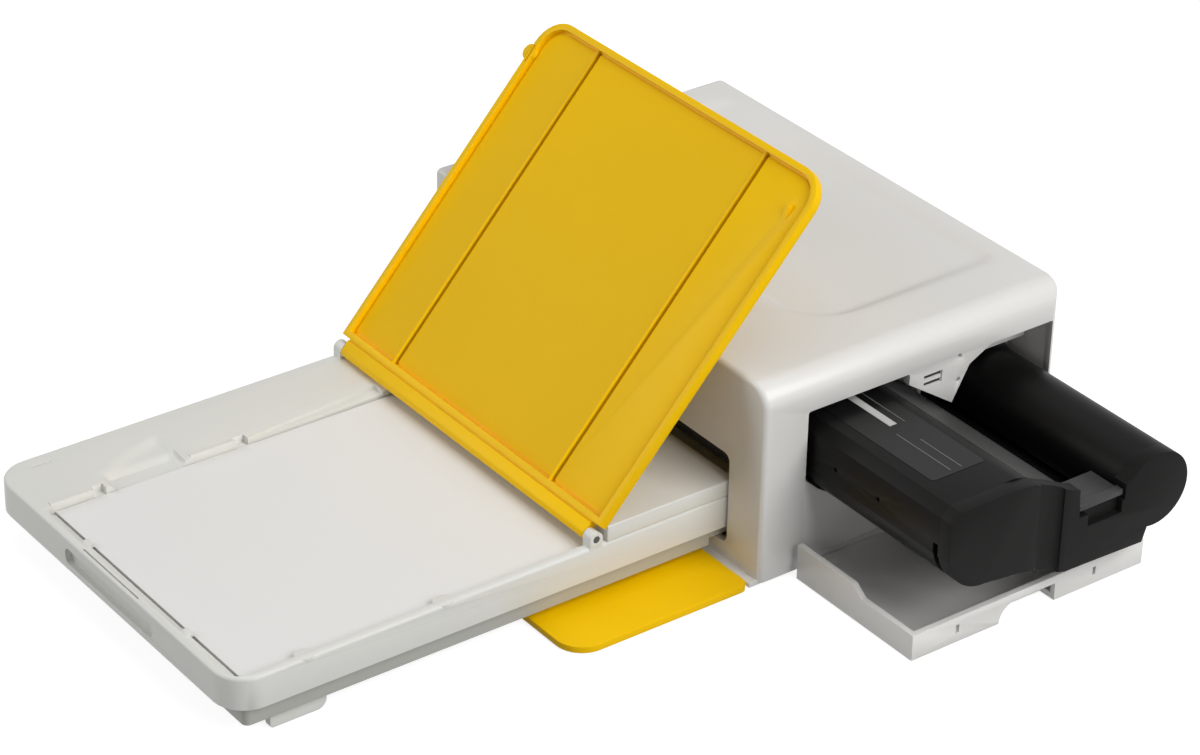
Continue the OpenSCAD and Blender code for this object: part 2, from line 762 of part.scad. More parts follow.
// side door, lying open on the desk
door_floor_x = door_axis_x + 1.4;
door_knuckles = [door_lugs[0] + lug_w + lug_gap, door_lugs[1] - lug_gap - door_knuckle];
door_slot_w = 1.2;
module door_side(y) {
    top = door_z + door_rim;
    shoulder = door_z + door_tall;
    rotate([90, 0, 0]) translate([0, 0, -y - door_wall]) linear_extrude(door_wall)
        polygon([[door_floor_x, door_z], [door_x1, door_z], [door_x1, top], [door_step_x + door_ramp, top],
            [door_step_x, shoulder], [door_floor_x, shoulder]]);
}
module side_door() {
    top = door_z + door_rim;
    color("white") in_place() difference() {
        union() {
            box([door_floor_x, door_y0, door_z], [door_x1, door_y1, door_z + door_t]);
            for (y = [door_y0, door_y1 - door_wall]) door_side(y);
            box([door_x1 - door_wall, door_y0, door_z], [door_x1, door_y1, top]);
            for (y = door_knuckles) {
                rod_y([door_axis_x, door_axis_z], hinge_r, y, y + door_knuckle);
                box([door_axis_x, y, door_z], [door_floor_x + eps, y + door_knuckle, door_z + door_t]);
            }
        }
        box([door_x1 - door_notch_in, door_notch[0] + door_notch_z, door_z - eps],
            [door_x1 + eps, door_notch[1], door_z + door_notch_z]);
        rod_x([door_notch[0] + door_notch_z, door_z], door_notch_z, door_x1 - door_notch_in, door_x1 + eps);
        for (y = door_slots)
            box([door_x1 - door_wall - eps, y, top - 5.4], [door_x1 + eps, y + door_slot_w, top - 2.6]);
        for (y = door_knuckles)
            rod_y([door_axis_x, door_axis_z], door_pin_r + run, y - eps, y + door_knuckle + eps);
    }
}
module side_door_pins() {
    color("silver") in_place() {
        rod_y([door_axis_x, door_axis_z], door_pin_r, door_lugs[0], door_knuckles[0] + door_knuckle - 1);
        rod_y([door_axis_x, door_axis_z], door_pin_r, door_knuckles[1] + 1, door_lugs[1] + lug_w);
    }
}

// tray
leg_pocket = 0.4;
leg_bore = 0.8;
leg_hold = 1.4;
module leg_space(s) {
    x0 = leg_x - leg_reach - leg_pocket;
    x1 = leg_x + leg_knuckle + leg_pocket;
    box([s > 0 ? x0 : -x1, leg_y0 - leg_pocket, tray_z - eps],
        [s > 0 ? x1 : -x0, leg_y0 + leg_l + leg_pocket, leg_axis_z + leg_knuckle + leg_pocket]);
}
module leg_house(s) {
    x0 = leg_x - leg_reach - 2 * base_floor;
    x1 = half_t - base_inset - eps;
    box([s > 0 ? x0 : -x1, leg_y0 - 3, tray_z],
        [s > 0 ? x1 : -x0, leg_y0 + leg_l + 3, leg_axis_z + leg_knuckle + leg_pocket + 1]);
}
// body of the tray base drawn in by skin, with its shallow end that plugs into the printer
module base_body(skin, top) {
    inset = base_inset + skin;
    hw = half_t - inset;
    translate([0, 0, tray_z + skin]) linear_extrude(top - tray_z - skin)
        tongue_plan(hw, base_front + skin - tray_reach, plug_start - skin, base_round - skin);
    box([-hw, plug_start - tray_round, plug_z + skin], [hw, tray_plug - skin, top]);
}
// flange that carries the frame's front wall
module base_flange() {
    hw = half_t - base_inset;
    y0 = base_front + base_floor - tray_reach;
    difference() {
        translate([0, 0, seam_z - base_floor]) linear_extrude(base_floor)
            tongue_plan(hw, base_inset - tray_reach, y0 + flange_l, tray_round - base_inset);
        box([base_floor - hw, y0, seam_z - 2 * base_floor],
            [hw - base_floor, y0 + 2 * flange_l, seam_z + eps]);
    }
}
module tray_base() {
    color("gainsboro") in_place() difference() {
        union() {
            difference() {
                base_body(0, seam_z);
                base_body(base_floor, seam_z + eps);
            }
            base_flange();
            for (s = [-1, 1]) leg_house(s);
        }
        for (s = [-1, 1]) {
            leg_space(s);
            rod_y([s * leg_x, leg_axis_z], leg_bore + run,
                leg_y0 - leg_pocket - leg_hold, leg_y0 + leg_l + leg_pocket + leg_hold);
        }
    }
}
module tray_leg(s) {
    color("white") in_place() {
        box([s * leg_x - leg_t / 2, leg_y0, 0], [s * leg_x + leg_t / 2, leg_y0 + leg_l, leg_axis_z]);
        rod_y([s * leg_x, leg_axis_z], leg_knuckle, leg_y0, leg_y0 + leg_l);
        rod_y([s * leg_x, leg_axis_z], leg_bore, leg_y0 - leg_hold, leg_y0 + leg_l + leg_hold);
    }
}
module tray_leg_right() { tray_leg(1); }
module tray_leg_left() { tray_leg(-1); }

// plan of the paper well, drawn in by gap, and of the thumb scoop that opens into it
well_x = (well_x0 + well_x1) / 2;
module well_plan(gap) {
    translate([well_x, 0])
        tongue_plan(well_x1 - well_x - gap, well_y0 + gap, well_y1 - gap, well_round - gap);
}
module scoop_plan() {
    translate([0, (scoop_y[0] + scoop_y[1]) / 2]) rotate(-90)
        tongue_plan((scoop_y[1] - scoop_y[0]) / 2, scoop_x0, well_x0 + eps, scoop_r);
}
recess_x = [-23.5, 24.5];
recess_z = [14, 19];
well_marks = [-147.5, -115.5, -97];
mark_w = 2.4;
mark_l = [4, 3, 3];
module tray_frame() {
    color("white") in_place() difference() {
        union() {
            translate([0, 0, seam_z]) linear_extrude(rim_z - seam_z)
                tongue_plan(half_t, -tray_reach, tray_plug, tray_round);
            for (s = [-1, 1]) ear(s);
        }
        translate([0, 0, seam_z - eps]) linear_extrude(rim_z - seam_z + 2 * eps) well_plan(0);
        box([well_x0 + 2, well_y1 - eps, rear_wall_z], [well_x1 - 1, tray_plug + eps, rim_z + eps]);
        box([tray_wall - half_t, well_y0 + tray_round, seam_z - eps],
            [well_x0 - 2, well_y1, rim_z - top_skin - scoop_depth]);
        translate([0, 0, rim_z - scoop_depth]) linear_extrude(scoop_depth + eps) scoop_plan();
        for (k = [0:2])
            box([well_x0 - mark_w, well_marks[k], stack_z - 1],
                [well_x0 + eps, well_marks[k] + mark_l[k], rim_z + eps]);
        box([recess_x[0], -tray_reach - eps, recess_z[0]], [recess_x[1], -tray_reach + 1, recess_z[1]]);
        for (s = [-1, 1])
            rod_x([axis_y, axis_z], pin_r + bore_fit, s > 0 ? half_t - ear_w - eps : -half_t - eps,
                s > 0 ? half_t + eps : -half_t + ear_w + eps);
    }
}
module ear(s) {
    x0 = s > 0 ? half_t - ear_w : -half_t;
    rod_x([axis_y, axis_z], ear_r, x0, x0 + ear_w);
    box([x0, axis_y - ear_r, rim_z - eps], [x0 + ear_w, axis_y + ear_r, axis_z]);
}
module tray_rear_cover() {
    color("white") in_place() difference() {
        box([-half_t, -cover_reach, rim_z], [half_t, cover_back, cover_z]);
        box([tray_wall - half_t, tray_wall - cover_reach, rim_z - eps],
            [half_t - tray_wall, cover_back + eps, cover_z - cover_skin]);
    }
}
module lift_plate() {
    color("silver") in_place() translate([0, 0, plate_z]) linear_extrude(plate_t) well_plan(plate_gap);
}
module photo_paper() {
    x0 = well_x - paper_w / 2;
    y1 = well_y1 - plate_gap / 2;
    color("snow") in_place()
        box([x0, y1 - paper_l, plate_z + plate_t], [x0 + paper_w, y1, plate_z + plate_t + stack_h]);
}
spring_r = 20;
spring_t = 0.4;
spring_w = 12;
spring_y = -70;
module lift_spring() {
    top = plate_z - slide;
    color("silver") in_place() intersection() {
        along_y(spring_y, spring_y + spring_w) translate([well_x, top - spring_r]) difference() {
            circle(spring_r);
            circle(spring_r - spring_t);
        }
        box([well_x - spring_r, spring_y, tray_z + base_floor],
            [well_x + spring_r, spring_y + spring_w, plate_z]);
    }
}

// lid, drawn closed about its hinge line and then swung open
rib_x = [-40.6, 40];
rib_w = 0.8;
snap_y = 13.4;
snap_r = 2.6;
lid_edge = 0.2;
neck = 3.7;
lid_bore = 5;
module closed_lid() {
    z0 = -barrel_r;
    hw = half_t - lid_edge;
    y0 = lid_hinge_y - tray_reach;
    neck_w = half_t - ear_w - slide;
    difference() {
        union() {
            translate([0, 0, z0]) linear_extrude(lid_t) tongue_plan(hw, y0, -neck, tray_round);
            box([-neck_w, -neck - eps, z0], [neck_w, 0, z0 + lid_t]);
            rod_x([0, 0], barrel_r, -neck_w, neck_w);
            post([-hw, y0 + snap_y], snap_r, z0, z0 + lid_t - 1);
        }
        difference() {
            translate([0, 0, z0 - eps]) linear_extrude(lid_t - lid_skin + eps)
                tongue_plan(hw - lid_rim, y0 + lid_rim, -neck - lid_rim, tray_round - lid_rim);
            for (x = rib_x) box([x - rib_w / 2, y0, z0 + 0.8], [x + rib_w / 2, 0, z0 + lid_t]);
        }
        for (s = [-1, 1])
            rod_x([0, 0], pin_r + run, s > 0 ? neck_w - lid_bore : -neck_w - eps,
                s > 0 ? neck_w + eps : lid_bore - neck_w);
    }
}
module tray_lid() {
    color("gold") in_place() translate([0, axis_y, axis_z]) rotate([-lid_angle, 0, 0]) closed_lid();
}
module lid_pins() {
    a = half_t - ear_w - slide - 4;
    color("silver") in_place() for (s = [-1, 1])
        rod_x([axis_y, axis_z], pin_r, s > 0 ? a : -half_t, s > 0 ? half_t : -a);
}

// ribbon cartridge
cart_corner = 3;
module supply_corner() {
    polygon([[cart_front, supply[1] - 2], [cart_front, cart_top - cart_corner],
        [cart_front + cart_corner, cart_top], [supply[0] + cart_corner, cart_top], supply]);
}
module roof_outline() {
    polygon([supply + [2, 2], [supply[0] + 1, cart_top], [roof_a[0] - 4, cart_top], roof_a, roof_b,
        roof_b - [0.8, roof_t], roof_a - [1, roof_t],
        [roof_a[0] - 4, cart_top - roof_t]]);
}
module supply_housing() {
    color("black") in_place() difference() {
        union() {
            rod_x(supply, supply_r, cart_x0, cap_x);
            along_x(cart_x0, cap_x) supply_corner();
            along_x(cart_x0, cap_x) roof_outline();
        }
        rod_x(supply, supply_r - cart_wall, cart_x0 + cart_wall, cap_x + eps);
        rod_x(supply, spool_r + run, cart_x0 - eps, cart_x0 + cart_wall + eps);
        box([cart_x0 + cart_wall, supply[0] + 6.5, film_z + 3.1],
            [cap_x + eps, supply[0] + 11.5, film_z + 6.5]);
    }
}
module takeup_housing() {
    color("black") in_place() difference() {
        rod_x(takeup, takeup_r, cart_x0, cap_x);
        rod_x(takeup, takeup_r - cart_wall, cart_x0 + cart_wall, cap_x + eps);
        rod_x(takeup, spool_r + run, cart_x0 - eps, cart_x0 + cart_wall + eps);
        box([cart_x0 + cart_wall, takeup[0] - takeup_r, film_z],
            [cap_x + eps, takeup[0] - 7, film_z + 3.2]);
    }
}
cap_web = [supply - [0, supply_r - eps], supply + [13, -15], supply + [21, -17], supply + [26, -20],
    [roof_b[0] - 5, cap_low + 1], [takeup[0] - 4, cap_low], [takeup[0] - 2.5, takeup[1] - takeup_r],
    takeup, takeup + [-6, 10], [latch_y[1], takeup[1] + 6], [latch_y[1], latch_z - 2.4],
    [latch_y[0], latch_z - 2.4], roof_b + [-1.5, 3.6], roof_b + [-4.5, 4.6], roof_b + [-11, 8],
    roof_a, [supply[0] + 9, cart_top], [supply[0], cart_top]];
slot_y = [latch_y[0] + 3.5, latch_y[0] + 16.5];
cap_slot_z = [latch_z - 6.4, latch_z - 2.4 + eps];
module cartridge_cap() {
    color("black") in_place() {
        difference() {
            along_x(cap_x, cart_x1) {
                translate(supply) circle(supply_r);
                supply_corner();
                translate(takeup) circle(takeup_r);
                polygon(cap_web);
            }
            box([cart_x1 - 2.4, slot_y[0], cap_slot_z[0]], [cart_x1 + eps, slot_y[1], cap_slot_z[1]]);
        }
        for (p = [supply, takeup]) rod_x(p, core_bore - run, cap_x - 6, cap_x + eps);
    }
}
latch_t = 1.9;
latch_side = 0.5;
latch_reach = 9;
module cartridge_latch() {
    z0 = latch_z - 0.9;
    y0 = latch_y[0] + latch_side;
    y1 = latch_y[1] - latch_side;
    color("dimgray") in_place() {
        box([cart_x1 - 3.4, y0, z0], [cart_x1 - 0.6, y1, z0 + latch_t]);
        box([cap_x - latch_reach, y0, z0], [cart_x1 - 3, y1, z0 + latch_t - 0.6]);
    }
}
module spool(p, roll) {
    difference() {
        union() {
            rod_x(p, spool_r, cart_x0 + seat, cap_x - seat);
            rod_x(p, roll, cart_x0 + cart_wall + 6, cap_x - 6);
        }
        rod_x(p, core_bore, cart_x0, cap_x);
    }
}
module supply_spool() { color("black") in_place() spool(supply, roll_r); }
module takeup_spool() { color("black") in_place() spool(takeup, takeup_roll); }
module ribbon_film() {
    path = [supply + [4, 0.5 - roll_r], [platen[0] - 6, film_z], [platen[0] + 6, film_z],
        takeup - [2.5, takeup_roll + film_t]];
    n = len(path);
    color("black") in_place() along_x(cart_x0 + cart_wall + film_in, cap_x - film_in)
        polygon(concat(path, [for (k = [n - 1:-1:0]) path[k] + [0, film_t]]));
}

outer_cover();
base_plate();
bay_sill();
rear_panel();
rubber_feet();
case_screws();
left_frame();
right_frame();
door_catch();
control_board();
power_socket();
usb_socket();
gear_bracket();
motor();
motor_pinion();
main_gear();
link_gear();
platen_roller();
platen_gear();
feed_roller();
feed_gear();
pinch_roller();
ribbon_gear();
takeup_hub();
pickup_belt();
pickup_roller();
head_guide();
thermal_head();
heater_strip();
power_button();
front_cover();
front_cover_pins();
side_door();
side_door_pins();
tray_base();
tray_frame();
tray_rear_cover();
lift_plate();
lift_spring();
photo_paper();
tray_leg_right();
tray_leg_left();
tray_lid();
lid_pins();
supply_housing();
takeup_housing();
cartridge_cap();
cartridge_latch();
supply_spool();
takeup_spool();
ribbon_film();
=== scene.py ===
import math
import bpy
import bmesh
from mathutils import Matrix, Vector


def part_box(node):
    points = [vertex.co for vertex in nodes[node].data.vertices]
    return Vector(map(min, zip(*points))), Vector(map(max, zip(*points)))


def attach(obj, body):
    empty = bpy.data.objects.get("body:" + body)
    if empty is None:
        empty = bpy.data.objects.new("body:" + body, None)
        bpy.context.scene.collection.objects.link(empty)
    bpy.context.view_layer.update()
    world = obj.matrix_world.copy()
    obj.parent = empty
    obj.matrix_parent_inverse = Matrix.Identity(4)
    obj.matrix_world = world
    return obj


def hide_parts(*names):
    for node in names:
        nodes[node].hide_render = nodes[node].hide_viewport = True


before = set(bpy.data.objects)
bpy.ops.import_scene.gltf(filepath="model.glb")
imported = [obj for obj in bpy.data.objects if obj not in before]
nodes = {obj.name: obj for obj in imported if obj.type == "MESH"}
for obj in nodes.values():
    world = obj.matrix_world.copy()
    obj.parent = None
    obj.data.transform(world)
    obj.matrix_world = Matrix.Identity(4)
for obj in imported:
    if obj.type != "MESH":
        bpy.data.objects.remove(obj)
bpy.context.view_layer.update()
mm = 0.001
bodyDepth = 111
touch = 0.01     # mm within which two places count as one
straight = 0.999     # cosine from which a line or a face counts as square to the drawing
past = 1     # mm that a cutting tool runs beyond what it cuts

# the drawing's own zero: middle of the printer's front face, on the desk
rearLow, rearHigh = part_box("rear_panel")
zeroX = (rearLow.x + rearHigh.x) / 2
zeroY = rearHigh.y - bodyDepth * mm


def at(x, y, z):
    return Vector((zeroX + x * mm, zeroY + y * mm, z * mm))


# a point of the scene in the drawing's millimetres
def drawn(point):
    return (point.x - zeroX) / mm, (point.y - zeroY) / mm, point.z / mm


view = {
    "place": at(782.67, -583.78, 604.79), "aim": at(-6.0, 8.008, 24.348), "roll": 1.14,
    "lens": 113.76, "sensor": 36, "near": 0.05,
}


def setCamera():
    away = (view["place"] - view["aim"]).normalized()
    side = Vector((0, 0, 1)).cross(away).normalized()
    above = away.cross(side)
    roll = math.radians(view["roll"])
    across = side * math.cos(roll) + above * math.sin(roll)
    upward = above * math.cos(roll) - side * math.sin(roll)
    bpy.ops.object.camera_add(location=view["place"])
    camera = bpy.context.object
    camera.data.lens = view["lens"]
    camera.data.sensor_width = view["sensor"]
    camera.data.clip_start = view["near"]
    camera.rotation_euler = Matrix((across, upward, away)).transposed().to_euler()
    bpy.context.scene.camera = camera


setCamera()
print("camera set")


def only(piece):
    bpy.ops.object.select_all(action="DESELECT")
    piece.select_set(True)
    bpy.context.view_layer.objects.active = piece


# a box from its two ends along x, y and z
def newBox(name, xs, ys, zs, place=at):
    low, high = place(xs[0], ys[0], zs[0]), place(xs[1], ys[1], zs[1])
    bpy.ops.object.select_all(action="DESELECT")
    bpy.ops.mesh.primitive_cube_add(size=1, location=(low + high) / 2)
    piece = bpy.context.object
    piece.name = name
    piece.scale = high - low
    bpy.ops.object.transform_apply(location=True, rotation=True, scale=True)
    return piece


def newRod(name, start, end, radius, sides=48):
    bpy.ops.object.select_all(action="DESELECT")
    bpy.ops.mesh.primitive_cylinder_add(
        vertices=sides, radius=radius * mm, depth=(end - start).length, location=(start + end) / 2)
    piece = bpy.context.object
    piece.name = name
    piece.rotation_euler = (end - start).to_track_quat("Z", "Y").to_euler()
    bpy.ops.object.transform_apply(location=True, rotation=True, scale=True)
    return piece


# a flat outline pulled straight out by a vector
def newPrism(name, outline, pull):
    bpy.ops.object.select_all(action="DESELECT")
    bpy.ops.mesh.primitive_circle_add(vertices=len(outline), radius=1 * mm, fill_type="NGON")
    piece = bpy.context.object
    piece.name = name
    for corner, place in zip(piece.data.vertices, outline):
        corner.co = place
    only(piece)
    bpy.ops.object.mode_set(mode="EDIT")
    bpy.ops.mesh.select_all(action="SELECT")
    bpy.ops.mesh.extrude_region_move(TRANSFORM_OT_translate={"value": pull})
    bpy.ops.mesh.select_all(action="SELECT")
    bpy.ops.mesh.normals_make_consistent(inside=False)
    bpy.ops.object.mode_set(mode="OBJECT")
    return piece


# a plan in x and y with a thickness from low to high
def slab(name, plan, low, high, place=at):
    return newPrism(name, [place(x, y, low) for x, y in plan], place(0, 0, high) - place(0, 0, low))


def arc(cx, cy, r, start, end, steps=8):
    turn = [math.radians(start + (end - start) * k / steps) for k in range(steps + 1)]
    return [(cx + r * math.cos(t), cy + r * math.sin(t)) for t in turn]


# the ends of a span on the right side (1) or the left side (-1), the lower one first
def mirrored(side, near, far):
    return sorted((side * near, side * far))


def pick(piece, kind, test):
    only(piece)
    bpy.ops.object.mode_set(mode="EDIT")
    bpy.ops.mesh.select_mode(type=kind)
    bpy.ops.mesh.select_all(action="DESELECT")
    grid = bmesh.from_edit_mesh(piece.data)
    parts = {"EDGE": grid.edges, "FACE": grid.faces}[kind]
    for part in parts:
        if test(part):
            part.select_set(True)
    grid.select_flush_mode()
    bmesh.update_edit_mesh(piece.data)


def roundEdges(piece, test, width, steps):
    pick(piece, "EDGE", test)
    bpy.ops.mesh.bevel(offset=width * mm, segments=steps, affect="EDGES", clamp_overlap=False)
    bpy.ops.object.mode_set(mode="OBJECT")


def middle(edge):
    return (edge.verts[0].co + edge.verts[1].co) / 2


def along(edge, axis):
    line = edge.verts[1].co - edge.verts[0].co
    return line.length > 0 and abs(line[axis]) > straight * line.length


def applyAll(piece):
    only(piece)
    for change in list(piece.modifiers):
        bpy.ops.object.modifier_apply(modifier=change.name)


# cuts a grid into the top faces inside a box of x and y and lowers its corners by sink(x, y)
def sinkTop(piece, low, high, top, step, sink):
    def onTop(face):
        return face.normal.z > straight and abs(drawn(face.calc_center_median())[2] - top) < touch

    def inside(face):
        x, y, z = drawn(face.calc_center_median())
        return onTop(face) and low[0] < x < high[0] and low[1] < y < high[1]

    def cut(test, axis, place):
        pick(piece, "FACE", test)
        point = [0, 0, top]
        point[axis] = place
        bpy.ops.mesh.bisect(plane_co=at(*point), plane_no=(1 - axis, axis, 0))
        bpy.ops.object.mode_set(mode="OBJECT")

    for axis in (0, 1):
        for edge in (low, high):
            cut(onTop, axis, edge[axis])
    for axis in (0, 1):
        count = round((high[axis] - low[axis]) / step)
        for n in range(1, count):
            cut(inside, axis, low[axis] + (high[axis] - low[axis]) * n / count)
    for corner in piece.data.vertices:
        x, y, z = drawn(corner.co)
        across = low[0] - touch < x < high[0] + touch
        if across and abs(z - top) < touch and low[1] - touch < y < high[1] + touch:
            corner.co.z -= sink(x, y) * mm


def combine(piece, tool, how):
    change = piece.modifiers.new(how.lower(), "BOOLEAN")
    change.operation = how
    change.solver = "EXACT"
    change.object = tool
    applyAll(piece)
    bpy.data.objects.remove(tool)


def carve(piece, *tools):
    for tool in tools:
        combine(piece, tool, "DIFFERENCE")
    return piece


def weld(piece, *tools):
    for tool in tools:
        combine(piece, tool, "UNION")
    return piece


# small rounds on all sharp edges, then smooth shading
def soften(piece, width, steps=2, sharpFrom=35, smoothBelow=40):
    change = piece.modifiers.new("edges", "BEVEL")
    change.width = width * mm
    change.segments = steps
    change.limit_method = "ANGLE"
    change.angle_limit = math.radians(sharpFrom)
    change.use_clamp_overlap = True
    change.harden_normals = False
    applyAll(piece)
    only(piece)
    bpy.ops.object.shade_smooth_by_angle(angle=math.radians(smoothBelow))
    return piece


# a welded copy of a node's own mesh, to be worked on further
def copyNode(node, name, gap=0.002, flatBelow=0.4):
    source = nodes[node]
    piece = source.copy()
    piece.data = source.data.copy()
    piece.name = name
    piece.parent = None
    bpy.context.collection.objects.link(piece)
    piece.hide_render = False
    piece.hide_viewport = False
    piece.data.materials.clear()
    only(piece)
    bpy.ops.object.mode_set(mode="EDIT")
    bpy.ops.mesh.select_all(action="SELECT")
    bpy.ops.mesh.remove_doubles(threshold=gap * mm)
    bpy.ops.mesh.dissolve_limited(angle_limit=math.radians(flatBelow), delimit={"NORMAL"})
    bpy.ops.object.mode_set(mode="OBJECT")
    return piece


def finish(piece, body, finishName, slotName, *replaced):
    piece.data.materials.clear()
    piece.data.materials.append(finishes[finishName])
    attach(piece, body)
    if replaced:
        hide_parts(*replaced)
    print("made", piece.name, len(piece.data.polygons))
    return piece


# a shader value that reads as a number in sums
class Wire:
    def __init__(self, tree, socket):
        self.tree = tree
        self.socket = socket

    def maths(self, operation, first, second):
        return wireUp(self.tree, "ShaderNodeMath", {"operation": operation}, {0: first, 1: second})

    def __add__(self, other):
        return self.maths("ADD", self, other)

    def __radd__(self, other):
        return self.maths("ADD", other, self)

    def __sub__(self, other):
        return self.maths("SUBTRACT", self, other)

    def __rsub__(self, other):
        return self.maths("SUBTRACT", other, self)

    def __mul__(self, other):
        return self.maths("MULTIPLY", self, other)

    def __rmul__(self, other):
        return self.maths("MULTIPLY", other, self)

    def into(self, socket):
        self.tree.links.new(self.socket, socket)


# any node: its settings first, then the values or wires of its sockets
def wireUp(tree, kind, settings=None, inputs=None, output=0):
    node = tree.nodes.new(kind)
    for key, value in (settings or {}).items():
        setattr(node, key, value)
    for key, value in (inputs or {}).items():
        if isinstance(value, Wire):
            value.into(node.inputs[key])
        else:
            node.inputs[key].default_value = value
    return Wire(tree, node.outputs[output])


def bare(name):
    material = bpy.data.materials.new(name)
    material.use_nodes = True
    tree = material.node_tree
    return material, tree, tree.nodes["Principled BSDF"]


def shade(colour, factor):
    return tuple(min(1, c * factor) for c in colour[:3]) + (1,)


def noise(tree, place, scale, detail, rough):
    return wireUp(tree, "ShaderNodeTexNoise", {},
                  {"Vector": place, "Scale": scale, "Detail": detail, "Roughness": rough})


def mixColour(tree, share, first, second):
    return wireUp(tree, "ShaderNodeMix", {"data_type": "RGBA"}, {0: share, 6: first, 7: second}, 2)


def bumpFrom(tree, height, strength, depth):
    return wireUp(tree, "ShaderNodeBump", {}, {"Height": height, "Strength": strength, "Distance": depth * mm})


plastic = {"flow": 38, "smear": 130, "grainSize": 0.35, "grainDepth": 0.04, "coatRough": 0.12}
metal = {"brush": 60, "spangle": 260, "dark": 0.88, "light": 1.08, "brushSwing": 0.12, "spangleSwing": 0.05,
         "rough": 0.08, "bump": 0.15, "bumpDepth": 0.02}


# injection moulding: faint flow clouds in the colour, uneven sheen and a fine spark-eroded grain
def moulding(name, colour, rough, grain=0.25, cloud=0.03, coat=0.0, gloss=0.5, swing=0.08):
    material, tree, surface = bare(name)
    place = wireUp(tree, "ShaderNodeTexCoord", output=3)
    flow = noise(tree, place, plastic["flow"], 3, 0.55)
    fine = noise(tree, place, 1 / (plastic["grainSize"] * mm), 2, 0.5)
    smear = noise(tree, place, plastic["smear"], 4, 0.6)
    tint = mixColour(tree, flow, shade(colour, 1 - cloud), shade(colour, 1 + cloud))
    tint.into(surface.inputs["Base Color"])
    (rough + (smear - 0.5) * swing).into(surface.inputs["Roughness"])
    bumpFrom(tree, fine, grain, plastic["grainDepth"]).into(surface.inputs["Normal"])
    surface.inputs["Specular IOR Level"].default_value = gloss
    surface.inputs["Coat Weight"].default_value = coat
    surface.inputs["Coat Roughness"].default_value = plastic["coatRough"]
    return material


# rolled or ground metal: long faint lines along one axis
def metalSheet(name, colour, rough, stretch=(1, 40, 40)):
    material, tree, surface = bare(name)
    place = wireUp(tree, "ShaderNodeTexCoord", output=3)
    line = wireUp(tree, "ShaderNodeMapping", {}, {"Vector": place, "Scale": stretch})
    brush = noise(tree, line, metal["brush"], 5, 0.6)
    spangle = wireUp(tree, "ShaderNodeTexVoronoi", {}, {"Vector": place, "Scale": metal["spangle"]}, 1)
    grey = wireUp(tree, "ShaderNodeSeparateColor", {}, {"Color": spangle})
    tint = mixColour(tree, brush, shade(colour, metal["dark"]), shade(colour, metal["light"]))
    tint.into(surface.inputs["Base Color"])
    sheen = rough - metal["rough"] + brush * metal["brushSwing"] + grey * metal["spangleSwing"]
    sheen.into(surface.inputs["Roughness"])
    bumpFrom(tree, brush, metal["bump"], metal["bumpDepth"]).into(surface.inputs["Normal"])
    surface.inputs["Metallic"].default_value = 1.0
    return material


